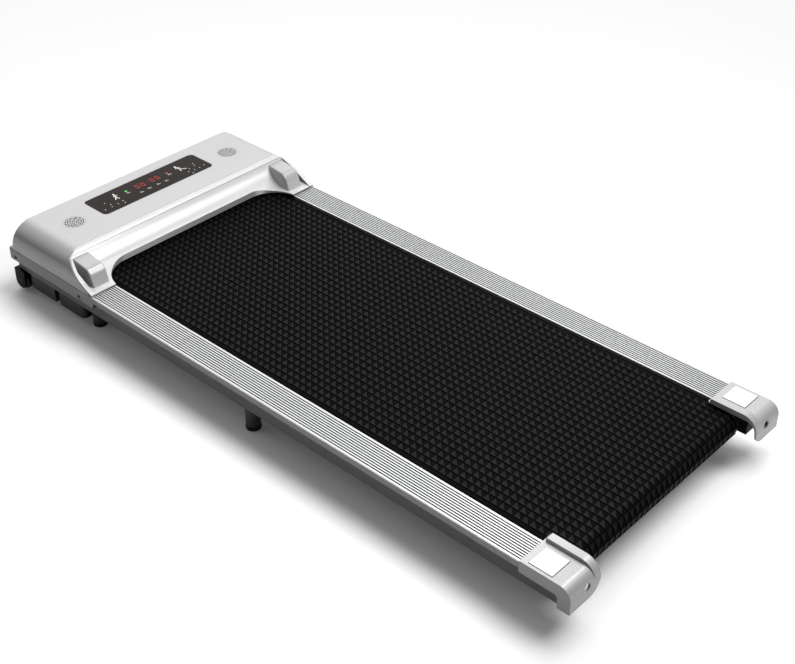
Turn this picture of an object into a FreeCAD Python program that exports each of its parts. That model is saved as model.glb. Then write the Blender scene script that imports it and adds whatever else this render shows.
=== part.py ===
import FreeCAD, Part
import math
import os

V = FreeCAD.Vector

# Walking pad, +X towards the motor hood, +Y to the walker's left, floor at z = 0.
# All lengths are in millimetres.

# Overall form
overall_length = 1236.0       # tail of the end caps to the front of the hood rim
head_length = 240.0           # front of the hood rim back to the ends of the side rails
rail_span = 520.0             # across the outer faces of the side rails
rail_top = 85.0               # side rail top above the floor
hood_rise = 51.0              # hood top above the side rail top

# Clearances that several pieces share
running_gap = 0.05            # radial room of a bearing or wheel on its axle
free_gap = 0.3                # room between a belt and what it runs on
screw_gap = 0.3               # radial room round a screw or a fixed axle
overrun = 2.0                 # how far a cut runs past the face that it opens
join_gap = 0.0001             # outline points nearer than this are one point

# Side rails, grooved aluminium extrusions
rail_width = 51.0
rail_wall = 3.0
rail_skirt = 12.5
rail_skirt_wall = 2.5
rail_lip_wall = 2.5
rail_lip_gap = 0.8            # room between the inner lip and the deck
rail_hook_wall = 2.0
rail_hook_gap = 0.5           # room between the locating hook and its channel
rail_end_gap = 0.5            # room between the rail's end and the hood rim
rail_tail_inset = 30.0        # the rail stops this far inside the end cap's tail
groove_count = 10
groove_pitch = 4.6
groove_width = 2.1
groove_depth = 1.8
groove_margin = 3.6

# Side channels, folded steel, open towards the deck
channel_inset = 8.0           # web behind the rail's outer face
channel_depth = 24.0
channel_height = 40.0
channel_wall = 2.0
channel_tail_inset = 28.0
channel_front_inset = 12.0

# Running belt and deck
belt_side_inset = 58.0        # belt edge inside the rail's outer face
belt_thickness = 2.5
belt_drop = 4.0               # belt top below the side rail top
deck_thickness = 12.0
deck_side_gap = 4.0
deck_end_gap = 4.0            # room between the deck's ends and what turns past them
cushion_radius = 9.0
cushion_shares = (0.08, 0.36, 0.64, 0.88)      # along the deck, from its tail
deck_screw_radius = 3.0
deck_screw_head_radius = 5.0
deck_screw_head = 4.0
deck_screw_bite = 8.0

# Cross members, steel tubes between the channels inside the belt loop
cross_member_width = 25.0
cross_member_height = 16.0
cross_member_wall = 1.5
cross_member_shares = {"rear": 0.225, "middle": 0.5, "front": 0.765}

# Rollers on dead axles
roller_radius = 19.0
roller_wall = 1.5
roller_overhang = 3.0         # roller end past the belt's edge
front_roller_offset = 85.0    # front roller ahead of the rail ends
rear_roller_inset = 54.0      # rear roller ahead of the tail
axle_radius = 7.5
axle_end_gap = 12.0           # axle end short of the channel web
bearing_width = 11.0
bearing_inset = 1.0

# Axle brackets, folded steel plate standing on the channels' lower flanges
bracket_wall = 3.0
bracket_height = 34.0
bracket_side_gap = 1.0        # room between a bracket's foot and the channel web
front_bracket_length = 36.0
front_web_gap = 14.0          # front bracket web outside the roller's end
rear_web_gap = 11.0           # rear bracket web outside the roller's end
rear_bracket_lead = 22.0      # rear bracket web ahead of the axle
rear_foot_tab_length = 28.0
rear_foot_tab_lead = 40.0     # foot tab ahead of the bracket web

# Belt tension bolts through the pull blocks on the ends of the rear axle
tension_travel = 6.0
bolt_radius = 4.0
bolt_rise = 11.0              # bolt above the axle
pull_block_length = 18.0
pull_block_width = 13.0
pull_block_wall = 7.5         # block above the bolt's axis
bolt_gap = 0.25
bolt_head_radius = 6.5
bolt_head = 8.0
bolt_hex = 6.0                # across the flats of the key socket
bolt_hex_depth = 3.5
bolt_spare = 4.5              # bolt past the pull block at the end of its travel
bolt_web_gap = 3.0            # room between the bolt and the rear bracket web

# Feet
foot_radius = 12.0
foot_pad_radius = 12.6
foot_pad_height = 7.0
foot_pad_round = 1.5
foot_inset = 12.0             # middle foot axis behind the channel's outer face
mid_foot_setback = 371.0      # behind the rail ends
front_foot_inset = 24.0
foot_tray_gap = 1.0           # room between a front foot and the motor tray
rear_foot_gap = 1.0           # room between the rear foot's tab and the belt's edge
rear_foot_inset = 14.0        # rear foot axis inside the belt's edge
foot_arm_half = 9.0
foot_arm_height = 12.0
foot_arm_drop = 3.4           # arm below the belt's lower run
foot_riser_gap = 10.0         # riser outside the belt's edge

# Transport wheels and their forks
wheel_radius = 17.0
wheel_width = 24.0
wheel_round = 3.0
wheel_dish = 2.5
wheel_dish_wall = 3.5
wheel_hub_radius = 7.5
wheel_side_gap = 1.0
wheel_inset = 18.0            # wheel axle behind the front of the rim
wheel_lift = 2.0              # wheels clear the floor while the pad lies flat
wheel_axle_radius = 4.0
fork_wall = 3.0
fork_half_length = 14.0
fork_round = 12.5
fork_outset = 3.0             # outer cheek outside the channel's web

# End caps, moulded shells over the tail ends of the rails
cap_length = 85.0
cap_skirt = 16.5              # cap side below the rail top
cap_wall = 3.0
cap_side_wall = 2.0
cap_seat_gap = 0.4
cap_overlap = 6.0             # cap reaches this far over the belt's edge
cap_tail_radius = 20.0
cap_hook_bottom = 47.0
cap_hook_depth = 21.0
cap_notch_radius = 7.0
cap_corner_radius = 24.0
cap_key_hole_radius = 6.5
ridge_width = 13.0
ridge_rise = 6.0
ridge_front_inset = 3.0
ridge_front_round = 2.0
cap_rib_wall = 3.0            # rib that stands on the rail inside the cap
cap_rib_inset = 12.0

# Hood: arched cover, sloping fascia and corner lugs
hood_ledge = 12.0             # rim ahead of the foot of the hood's front face
hood_front_lean = 9.0         # top of the front face behind its foot
hood_corner_radius = 40.0
hood_wall = 3.0
hood_front_round = 4.0
cover_tip_setback = 9.0
cheek_width = 8.5             # raised side edge of the fascia
cheek_top_offset = 68.0       # top of the side edge ahead of the rail ends
cheek_top_rise = 43.5
cheek_upright = 26.0          # upright part of the side edge's inner face
cheek_lean = 8.2              # inward lean of the rest of that face
cheek_sag = 1.8               # hollow of the side edge under a straight line
fascia_wall = 2.5
fascia_seat_gap = 0.3
ramp_flat = 29.5              # gently rising foot of the ramp
ramp_start_angle = 3.0        # degrees
ramp_angle = 80.0             # degrees
ramp_hollow_radius = 40.0
ramp_crown_radius = 7.0
seam_gap = 0.6                # groove between the cover and the fascia
seam_depth = 1.2
cutout_depth = 51.0
cutout_corner_radius = 60.0
lip_rise = 1.0                # lower edge of the cut-out's lip above the rail top
lip_wall = 3.0
fascia_rib_width = 4.0
fascia_rib_inset = 3.0
lug_inner_gap = 1.0           # lug from the rails' inner edges
lug_width = 33.0
lug_top_offset = 71.0         # lug profile ahead of the rail ends
lug_top_rise = 39.9
lug_crest_offset = 23.7
lug_crest_rise = 33.5
lug_crest_round = 18.0
lug_foot_offset = 13.8
lug_foot_rise = 3.0
lug_edge_round = 2.5

# Display window, its board and the two speakers
window_length = 66.0
window_side_inset = 134.0     # window end inside the rail's outer face
window_round = 9.0
window_thickness = 1.5
window_recess = 0.4           # window face below the hood top
window_seat = 4.0             # ledge under the window's edge
window_gap = 0.2
window_offset = 159.0         # window centre ahead of the rail ends
board_thickness = 1.6
board_margin = 5.0            # board past the centres of its corner posts
board_width = 230.0
board_drop = 6.5
board_post_radius = 3.0
digit_length = 20.0
digit_width = 34.0
digit_height = 5.0
digit_spacing = 40.0
speaker_offset = 147.0
speaker_inset = 82.5          # speaker axis inside the rail's outer face
speaker_radius = 18.0
speaker_flange = 2.0
speaker_flange_radius = 22.0
speaker_cone = 6.0
magnet_radius = 12.0
magnet_height = 5.0
grille_radius = 20.0
grille_thickness = 1.6
grille_gap = 0.2
grille_slot = 1.9
grille_ring_pitch = 4.0
grille_rings = 4
grille_bridge = 1.8           # web between two slots of a ring
grille_ring_bridges = 3

# Hood rim: side strips and a front strip screwed to the channels
rim_height = 22.8
rim_gap = 0.3
rim_front_wall = 6.0
rim_shelf_overlap = 5.0
rim_edge_round = 3.5
rim_corner_round = 4.5
rim_screw_offsets = (38.0, 221.0)      # ahead of the rail ends
rim_screw_drop = 15.5
rim_screw_radius = 2.0
rim_screw_head_radius = 3.2
rim_screw_head = 2.4
rim_screw_sink = 4.5

# Motor tray under the head
tray_tail_offset = 46.0
tray_front_offset = 203.0
tray_nose_inset = 9.0
tray_side_inset = 0.6         # tray wall behind the channel's outer face
tray_bottom = 13.0
tray_wall = 2.5
tray_corner_radius = 10.0
tray_bottom_round = 2.0
tray_step_offset = 112.0      # recess in the side wall ahead of the rail ends
tray_step_length = 14.0
tray_step_depth = 6.0
tray_nose_gap = 4.0
tray_panel_top = 65.0
tray_belt_gap = 5.0
vent_count = 7
vent_length = 90.0
vent_width = 5.0
vent_pitch = 11.0
vent_inset = 30.0

# Motor, its cradle and the ribbed belt drive
motor_setback = 59.0          # motor axis behind the switch panel
motor_radius = 33.0
motor_can_length = 100.0
motor_can_wall = 7.0
motor_bell_length = 8.0
motor_pulley_gap = 27.5       # drive end bell to the pulley
motor_air_gap = 1.0
motor_core_inset = 8.0
shaft_radius = 4.0
plate_thickness = 2.5
plate_lead = 33.0             # base plate ahead of the front roller axis
plate_front_inset = 36.0
plate_notch_gap = 4.0         # room between the plate's notch and the drive pulleys
cradle_width = 60.0
cradle_length = 56.0
cradle_height = 16.0
motor_seat = 3.0              # can bottom above the base plate
fan_radius = 26.0
fan_hub_radius = 9.0
fan_width = 12.0
fan_gap = 4.0
fan_blade_wall = 2.0
fan_blades = 7
pulley_width = 12.0
pulley_gap = 0.5
pulley_flange = 1.2
pulley_flange_rise = 2.5
pulley_ribs = 4
pulley_rib_depth = 1.4
roller_pulley_radius = 35.0
motor_pulley_radius = 11.0
drive_belt_thickness = 2.6
drive_belt_gap = 0.5

# Controller board with its heat sink
controller_front_gap = 14.0   # board behind the switch panel
controller_length = 78.0
controller_width = 140.0
controller_side_gap = 40.0    # board inside the channel's web
controller_lift = 8.0
post_radius = 4.0
post_inset = 8.0
capacitor_radius = 11.0
capacitor_height = 26.0
capacitor_spacing = 30.0
heat_sink_length = 60.0
heat_sink_width = 80.0
heat_sink_base = 5.0
heat_sink_height = 28.0
heat_sink_fins = 9
heat_sink_fin_wall = 2.0
heat_sink_inset = 6.0

# Mains inlet, power rocker and reset breaker on a sunk panel in the hood's front face
switchgear_rise = 22.0        # their centre line above the rail top
panel_gap = 0.2               # room between a body and its cut-out
panel_setback = 9.0           # panel behind the foot of the hood's front face
panel_margin = 4.0            # panel past the outermost flanges
inlet_inset = 100.0           # axis inside the rail's outer face
inlet_width = 27.6
inlet_height = 19.6
inlet_depth = 24.0
inlet_wall = 1.6
inlet_floor = 8.0
inlet_flange = 2.0
inlet_flange_lap = 3.0
inlet_corner = 5.0
pin_thickness = 2.0
pin_height = 4.0
pin_length = 12.0
pin_spacing = 7.0
pin_offset = 2.0
switch_inset = 148.0
switch_width = 13.0
switch_height = 19.4
switch_depth = 18.0
switch_wall = 1.4
switch_bezel = 2.0
switch_bezel_lap = 1.6
rocker_side_gap = 0.4
rocker_reach = 7.2
rocker_end_rise = 3.6
rocker_valley_rise = 2.2
rocker_shoulder = 2.0
rocker_base_reach = 3.0
rocker_base_depth = 5.0
rocker_end_gap = 0.8
rocker_tilt = 10.0            # degrees each way from level
breaker_inset = 180.0
breaker_radius = 7.0
breaker_depth = 20.0
breaker_flange = 2.0
breaker_flange_lap = 2.5
button_radius = 4.5
button_rise = 4.0
button_travel = 2.5
button_depth = 8.0
button_gap = 0.2
button_round = 1.0

# Places worked out from the sizes above
front_x = overall_length / 2
tail_x = -overall_length / 2
joint_x = front_x - head_length
hood_front_x = front_x - hood_ledge
panel_x = hood_front_x - panel_setback
hood_top = rail_top + hood_rise
rail_y = rail_span / 2
rail_inner_y = rail_y - rail_width
channel_y = rail_y - channel_inset
channel_web_y = channel_y - channel_wall
channel_inner_y = channel_y - channel_depth
channel_top = rail_top - rail_wall
channel_bottom = channel_top - channel_height
channel_floor = channel_bottom + channel_wall
channel_tail_x = tail_x + channel_tail_inset
channel_front_x = front_x - channel_front_inset
belt_y = rail_y - belt_side_inset
belt_top = rail_top - belt_drop
deck_top = belt_top - belt_thickness - free_gap
deck_bottom = deck_top - deck_thickness
roller_z = deck_top - roller_radius
roller_y = belt_y + roller_overhang
belt_radius = roller_radius + free_gap + belt_thickness
belt_low = roller_z - belt_radius
front_roller_x = joint_x + front_roller_offset
rear_roller_x = tail_x + rear_roller_inset
drive_belt_spread = free_gap + drive_belt_thickness
pulley_reach = roller_pulley_radius + max(pulley_flange_rise, drive_belt_spread)
deck_front_x = front_roller_x - pulley_reach - deck_end_gap
deck_tail_x = rear_roller_x + roller_radius + tension_travel + deck_end_gap
deck_y = channel_web_y - deck_side_gap
axle_y = channel_web_y - axle_end_gap
cushion_y = (channel_inner_y + channel_web_y) / 2
rear_web_y = roller_y + rear_web_gap
bolt_y = rear_web_y + bracket_wall + bolt_web_gap + bolt_radius
bolt_z = roller_z + bolt_rise
bracket_foot_y = channel_web_y - bracket_side_gap
bracket_tail_x = channel_tail_x - bracket_wall
foot_y = channel_y - foot_inset
front_foot_x = joint_x + tray_tail_offset - foot_pad_radius - foot_tray_gap
rear_foot_y = belt_y - rear_foot_inset
wheel_x = front_x - wheel_inset
wheel_z = wheel_radius + wheel_lift
fork_outer_y = channel_y + fork_outset + fork_wall
wheel_outer_y = channel_y + fork_outset - wheel_side_gap
wheel_inner_y = wheel_outer_y - wheel_width
fork_inner_y = wheel_inner_y - wheel_side_gap - fork_wall
cap_front_x = tail_x + cap_length
cap_top = rail_top + cap_seat_gap + cap_wall
cap_inner_y = belt_y - cap_overlap
cap_outer_y = rail_y + cap_seat_gap + cap_side_wall
hood_y = rail_y
ramp_start_z = rail_top + fascia_seat_gap + fascia_wall
hood_ceiling = hood_top - hood_wall
window_x = joint_x + window_offset
speaker_x = joint_x + speaker_offset
speaker_y = rail_y - speaker_inset
window_y = rail_y - window_side_inset
window_top = hood_top - window_recess
rim_y = channel_y + rim_gap
plate_top = channel_floor + plate_thickness
plate_tail_x = front_roller_x + plate_lead
plate_front_x = front_x - plate_front_inset
motor_x = panel_x - motor_setback
motor_z = plate_top + motor_seat + motor_radius
pulley_y = roller_y + pulley_gap
bell_y = pulley_y - motor_pulley_gap
can_front_y = bell_y - motor_bell_length
can_back_y = can_front_y - motor_can_length
shaft_back_y = can_back_y - motor_bell_length - fan_gap - fan_width
switchgear_z = rail_top + switchgear_rise
inlet_y = inlet_inset - rail_y
switch_y = switch_inset - rail_y
breaker_y = breaker_inset - rail_y
controller_y = controller_side_gap - channel_web_y


# Shapes that many pieces are cut from
def block(x0, x1, y0, y1, z0, z1):
    return Part.makeBox(x1 - x0, y1 - y0, z1 - z0, V(x0, y0, z0))


def rod_x(y, z, radius, x0, x1):
    return Part.makeCylinder(radius, x1 - x0, V(x0, y, z), V(1, 0, 0))


def rod_y(x, z, radius, y0, y1):
    return Part.makeCylinder(radius, y1 - y0, V(x, y0, z), V(0, 1, 0))


def rod_z(x, y, radius, z0, z1):
    return Part.makeCylinder(radius, z1 - z0, V(x, y, z0), V(0, 0, 1))


def rounded_face(corners, place):
    """Flat face through corners (u, v) or (u, v, radius), set in space by place."""
    points = [V(corner[0], corner[1], 0) for corner in corners]
    starts = []
    ends = []
    middles = []
    for index, corner in enumerate(corners):
        point = points[index]
        radius = corner[2] if len(corner) > 2 else 0
        back = (points[index - 1] - point).normalize()
        ahead = (points[(index + 1) % len(points)] - point).normalize()
        if radius == 0:
            starts.append(point)
            ends.append(point)
            middles.append(None)
            continue
        half = back.getAngle(ahead) / 2
        inward = (back + ahead).normalize()
        starts.append(point + back * (radius / math.tan(half)))
        ends.append(point + ahead * (radius / math.tan(half)))
        middles.append(point + inward * (radius / math.sin(half) - radius))
    edges = []
    for index in range(len(corners)):
        before = ends[index - 1]
        if not before.isEqual(starts[index], join_gap):
            edges.append(Part.LineSegment(place(before), place(starts[index])).toShape())
        if middles[index] is not None:
            arc = Part.Arc(place(starts[index]), place(middles[index]), place(ends[index]))
            edges.append(arc.toShape())
    return Part.Face(Part.Wire(Part.__sortEdges__(edges)))


def side_prism(corners, y0, y1):
    face = rounded_face(corners, lambda p: V(p.x, y0, p.y))
    return face.extrude(V(0, y1 - y0, 0))


def end_prism(corners, x0, x1):
    face = rounded_face(corners, lambda p: V(x0, p.x, p.y))
    return face.extrude(V(x1 - x0, 0, 0))


def flat_prism(corners, z0, z1):
    face = rounded_face(corners, lambda p: V(p.x, p.y, z0))
    return face.extrude(V(0, 0, z1 - z0))


def turned_y(corners, x, z):
    """Solid turned about an axis along Y, from corners (radius, y)."""
    face = rounded_face(corners, lambda p: V(x + p.x, p.y, z))
    return face.revolve(V(x, 0, z), V(0, 1, 0), 360)


def rectangle(u0, u1, v0, v1, radius=0):
    return [(u0, v0, radius), (u1, v0, radius), (u1, v1, radius), (u0, v1, radius)]


def mirrored(shape):
    return shape.mirror(V(0, 0, 0), V(0, 1, 0))


def belt_loop(x0, z0, radius0, x1, z1, radius1, y0, y1):
    """Solid inside a belt line round two circles, extruded across the belt."""
    centre0 = V(x0, y0, z0)
    centre1 = V(x1, y0, z1)
    along = centre1 - centre0
    lean = math.asin((radius0 - radius1) / along.Length)
    heading = math.atan2(along.z, along.x)

    def on_circle(centre, radius, angle):
        return centre + V(radius * math.cos(angle), 0, radius * math.sin(angle))

    upper = heading + math.pi / 2 - lean
    lower = heading - math.pi / 2 + lean
    upper0 = on_circle(centre0, radius0, upper)
    upper1 = on_circle(centre1, radius1, upper)
    lower0 = on_circle(centre0, radius0, lower)
    lower1 = on_circle(centre1, radius1, lower)
    edges = [
        Part.LineSegment(upper0, upper1).toShape(),
        Part.Arc(upper1, on_circle(centre1, radius1, heading), lower1).toShape(),
        Part.LineSegment(lower1, lower0).toShape(),
        Part.Arc(lower0, on_circle(centre0, radius0, heading + math.pi), upper0).toShape(),
    ]
    return Part.Face(Part.Wire(edges)).extrude(V(0, y1 - y0, 0))


def rounded_edges(shape, radius, wanted):
    """Fillet the edges for which wanted(edge) is true."""
    return shape.makeFillet(radius, [edge for edge in shape.Edges if wanted(edge)])


def lies_at(edge, axis, value):
    box = edge.BoundBox
    low = getattr(box, axis + "Min")
    high = getattr(box, axis + "Max")
    return abs(low - value) < running_gap and abs(high - value) < running_gap


# Left side rail, an extrusion with a grooved tread
def side_rail():
    corners = [(rail_y, rail_top - rail_skirt), (rail_y, rail_top)]
    for index in range(groove_count):
        edge = rail_y - groove_margin - index * groove_pitch
        corners.append((edge, rail_top))
        corners.append((edge, rail_top - groove_depth))
        corners.append((edge - groove_width, rail_top - groove_depth))
        corners.append((edge - groove_width, rail_top))
    hook_y = channel_inner_y - rail_hook_gap
    lip_z = deck_top + rail_lip_gap
    corners += [
        (rail_inner_y, rail_top),
        (rail_inner_y, lip_z),
        (rail_inner_y + rail_lip_wall, lip_z),
        (rail_inner_y + rail_lip_wall, channel_top),
        (hook_y - rail_hook_wall, channel_top),
        (hook_y - rail_hook_wall, lip_z),
        (hook_y, lip_z),
        (hook_y, channel_top),
        (rail_y - rail_skirt_wall, channel_top),
        (rail_y - rail_skirt_wall, rail_top - rail_skirt),
    ]
    return end_prism(corners, tail_x + rail_tail_inset, joint_x - rail_end_gap)


# Places along the channels where deck screws and rim screws pass
def cushion_places():
    length = deck_front_x - deck_tail_x
    return [deck_tail_x + share * length for share in cushion_shares]


def rim_screw_places():
    return [joint_x + offset for offset in rim_screw_offsets]


# Left side channel, folded from sheet, with its screw holes
def side_channel():
    section = [
        (channel_y, channel_bottom),
        (channel_y, channel_top),
        (channel_inner_y, channel_top),
        (channel_inner_y, channel_top - channel_wall),
        (channel_web_y, channel_top - channel_wall),
        (channel_web_y, channel_floor),
        (channel_inner_y, channel_floor),
        (channel_inner_y, channel_bottom),
    ]
    channel = end_prism(section, channel_tail_x, channel_front_x)
    for x in cushion_places():
        hole = rod_z(x, cushion_y, deck_screw_radius + screw_gap,
                     channel_bottom - overrun, channel_floor + overrun)
        channel = channel.cut(hole)
    for x in rim_screw_places():
        hole = rod_y(x, rail_top - rim_screw_drop, rim_screw_radius + screw_gap,
                     channel_web_y - overrun, channel_y + overrun)
        channel = channel.cut(hole)
    return channel


# Cross member, a flat tube standing on the channels' lower flanges
def cross_member(share):
    middle = deck_tail_x + share * (deck_front_x - deck_tail_x)
    x0 = middle - cross_member_width / 2
    x1 = middle + cross_member_width / 2
    z1 = channel_floor + cross_member_height
    tube = block(x0, x1, -channel_web_y, channel_web_y, channel_floor, z1)
    bore = block(x0 + cross_member_wall, x1 - cross_member_wall,
                 -channel_web_y - overrun, channel_web_y + overrun,
                 channel_floor + cross_member_wall, z1 - cross_member_wall)
    return tube.cut(bore)


# Deck board with blind holes for its screws
def deck_board():
    board = block(deck_tail_x, deck_front_x, -deck_y, deck_y, deck_bottom, deck_top)
    for x in cushion_places():
        for y in (cushion_y, -cushion_y):
            hole = rod_z(x, y, deck_screw_radius + screw_gap,
                         deck_bottom - overrun, deck_bottom + deck_screw_bite + screw_gap)
            board = board.cut(hole)
    return board


# Rubber cushions between the channels and the deck, and the screws through them
def deck_cushions():
    cushions = []
    for x in cushion_places():
        for y in (cushion_y, -cushion_y):
            post = rod_z(x, y, cushion_radius, channel_floor, deck_bottom)
            hole = rod_z(x, y, deck_screw_radius + screw_gap,
                         channel_floor - overrun, deck_bottom + overrun)
            cushions.append(post.cut(hole))
    return cushions


def deck_screws():
    screws = []
    for x in cushion_places():
        for y in (cushion_y, -cushion_y):
            head = rod_z(x, y, deck_screw_head_radius,
                         channel_bottom - deck_screw_head, channel_bottom)
            shank = rod_z(x, y, deck_screw_radius, channel_bottom, deck_bottom + deck_screw_bite)
            screws.append(head.fuse(shank))
    return screws


# Running belt, one loop round both rollers
def running_belt():
    outside = belt_loop(rear_roller_x, roller_z, belt_radius,
                        front_roller_x, roller_z, belt_radius, -belt_y, belt_y)
    inner = roller_radius + free_gap
    inside = belt_loop(rear_roller_x, roller_z, inner, front_roller_x, roller_z, inner,
                       -belt_y - overrun, belt_y + overrun)
    return outside.cut(inside)


# Roller tube, its two bearings, and the dead axle through them
def roller_tube(x):
    tube = rod_y(x, roller_z, roller_radius, -roller_y, roller_y)
    bore = rod_y(x, roller_z, roller_radius - roller_wall, -roller_y - overrun, roller_y + overrun)
    return tube.cut(bore)


def roller_bearings(x):
    outer_y = roller_y - bearing_inset
    inner_y = outer_y - bearing_width
    ring = rod_y(x, roller_z, roller_radius - roller_wall, inner_y, outer_y)
    bore = rod_y(x, roller_z, axle_radius + running_gap, inner_y - overrun, outer_y + overrun)
    ring = ring.cut(bore)
    return [ring, mirrored(ring)]


def rear_axle():
    axle = rod_y(rear_roller_x, roller_z, axle_radius, -axle_y, axle_y)
    x0 = rear_roller_x - pull_block_length / 2
    x1 = rear_roller_x + pull_block_length / 2
    for y in (bolt_y, -bolt_y):
        pull = block(x0, x1, y - pull_block_width / 2, y + pull_block_width / 2,
                     roller_z - axle_radius, bolt_z + pull_block_wall)
        hole = rod_x(y, bolt_z, bolt_radius + bolt_gap, x0 - overrun, x1 + overrun)
        axle = axle.fuse(pull).removeSplitter().cut(hole)
    return axle


# Left front axle bracket, an angle with a round seat for the axle
def front_axle_bracket():
    web_y = roller_y + front_web_gap
    section = [
        (web_y, channel_floor),
        (bracket_foot_y, channel_floor),
        (bracket_foot_y, channel_floor + bracket_wall),
        (web_y + bracket_wall, channel_floor + bracket_wall),
        (web_y + bracket_wall, channel_floor + bracket_height),
        (web_y, channel_floor + bracket_height),
    ]
    bracket = end_prism(section, front_roller_x - front_bracket_length / 2,
                        front_roller_x + front_bracket_length / 2)
    seat = rod_y(front_roller_x, roller_z, axle_radius + running_gap,
                 web_y - overrun, web_y + bracket_wall + overrun)
    return bracket.cut(seat)


# Left rear axle bracket: slotted web, tail tab for the tension bolt, tab for the rear foot
def rear_axle_bracket():
    web_front_x = rear_roller_x + rear_bracket_lead
    tab_tail_x = web_front_x + rear_foot_tab_lead
    tab_front_x = tab_tail_x + rear_foot_tab_length
    foot_top = channel_floor + bracket_wall
    web_top = channel_floor + bracket_height
    foot = flat_prism([
        (bracket_tail_x, rear_web_y), (tab_tail_x, rear_web_y),
        (tab_tail_x, belt_y + rear_foot_gap), (tab_front_x, belt_y + rear_foot_gap),
        (tab_front_x, bracket_foot_y), (bracket_tail_x, bracket_foot_y),
    ], channel_floor, foot_top)
    web = block(bracket_tail_x, web_front_x, rear_web_y, rear_web_y + bracket_wall,
                channel_floor, web_top)
    tail = block(bracket_tail_x, channel_tail_x, rear_web_y, bracket_foot_y,
                 channel_floor, web_top)
    slot_radius = axle_radius + running_gap
    slot = belt_loop(rear_roller_x, roller_z, slot_radius,
                     rear_roller_x + tension_travel, roller_z, slot_radius,
                     rear_web_y - overrun, rear_web_y + bracket_wall + overrun)
    bolt_hole = rod_x(bolt_y, bolt_z, bolt_radius + bolt_gap,
                      bracket_tail_x - overrun, channel_tail_x + overrun)
    return foot.fuse([web, tail]).removeSplitter().cut(slot).cut(bolt_hole)


# Left belt tension bolt, its head towards the key hole in the end cap
def tension_bolt():
    head_x = bracket_tail_x - bolt_head
    tip_x = rear_roller_x + pull_block_length / 2 + tension_travel + bolt_spare
    bolt = rod_x(bolt_y, bolt_z, bolt_head_radius, head_x, bracket_tail_x)
    bolt = bolt.fuse(rod_x(bolt_y, bolt_z, bolt_radius, bracket_tail_x, tip_x))
    reach = bolt_hex / 2 / math.cos(math.pi / 6)
    corners = []
    for index in range(6):
        angle = index * math.pi / 3
        corners.append((bolt_y + reach * math.cos(angle), bolt_z + reach * math.sin(angle)))
    return bolt.cut(end_prism(corners, head_x - overrun, head_x + bolt_hex_depth))


# Feet: posts under the channels, the rear ones on arms under the belt, and rubber pads
def foot_places():
    tab_x = rear_roller_x + rear_bracket_lead + rear_foot_tab_lead + rear_foot_tab_length / 2
    places = []
    for side in (1, -1):
        places.append((front_foot_x, side * (channel_y - front_foot_inset)))
        places.append((joint_x - mid_foot_setback, side * foot_y))
        places.append((tab_x, side * rear_foot_y))
    return places


def foot_posts():
    posts = []
    arm_top = belt_low - foot_arm_drop
    riser_y = belt_y + foot_riser_gap
    arm_y = channel_inner_y - free_gap
    for x, y in foot_places():
        if abs(y) > belt_y:
            posts.append(rod_z(x, y, foot_radius, foot_pad_height, channel_bottom))
            continue
        post = rod_z(x, rear_foot_y, foot_radius, foot_pad_height, arm_top)
        arm = block(x - foot_arm_half, x + foot_arm_half, rear_foot_y, arm_y,
                    arm_top - foot_arm_height, arm_top)
        riser = block(x - foot_arm_half, x + foot_arm_half, riser_y, arm_y,
                      arm_top - foot_arm_height, channel_floor)
        post = post.fuse([arm, riser]).removeSplitter()
        posts.append(post if y > 0 else mirrored(post))
    return posts


def foot_pads():
    pads = []
    for x, y in foot_places():
        pad = rod_z(x, y, foot_pad_radius, 0, foot_pad_height)
        pads.append(rounded_edges(pad, foot_pad_round, lambda edge: lies_at(edge, "Z", 0)))
    return pads


# Left transport wheel, its fork and its axle
def transport_wheel():
    bore = wheel_axle_radius + running_gap
    dish = wheel_radius - wheel_dish_wall
    section = [
        (bore, wheel_inner_y),
        (wheel_hub_radius, wheel_inner_y),
        (wheel_hub_radius, wheel_inner_y + wheel_dish),
        (dish, wheel_inner_y + wheel_dish),
        (dish, wheel_inner_y),
        (wheel_radius, wheel_inner_y, wheel_round),
        (wheel_radius, wheel_outer_y, wheel_round),
        (dish, wheel_outer_y),
        (dish, wheel_outer_y - wheel_dish),
        (wheel_hub_radius, wheel_outer_y - wheel_dish),
        (wheel_hub_radius, wheel_outer_y),
        (bore, wheel_outer_y),
    ]
    return turned_y(section, wheel_x, wheel_z)


def wheel_fork():
    low = wheel_z - fork_half_length
    cheek = [
        (wheel_x - fork_half_length, channel_bottom),
        (wheel_x + fork_half_length, channel_bottom),
        (wheel_x + fork_half_length, low, fork_round),
        (wheel_x - fork_half_length, low, fork_round),
    ]
    outer = side_prism(cheek, fork_outer_y - fork_wall, fork_outer_y)
    inner = side_prism(cheek, fork_inner_y, fork_inner_y + fork_wall)
    bridge = block(wheel_x - fork_half_length, wheel_x + fork_half_length,
                   fork_inner_y, fork_outer_y, channel_bottom - fork_wall, channel_bottom)
    seat = rod_y(wheel_x, wheel_z, wheel_axle_radius + running_gap,
                 fork_inner_y - overrun, fork_outer_y + overrun)
    return outer.fuse([inner, bridge]).removeSplitter().cut(seat)


def wheel_axles():
    axle = rod_y(wheel_x, wheel_z, wheel_axle_radius, fork_inner_y, fork_outer_y)
    return [axle, mirrored(axle)]


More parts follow.
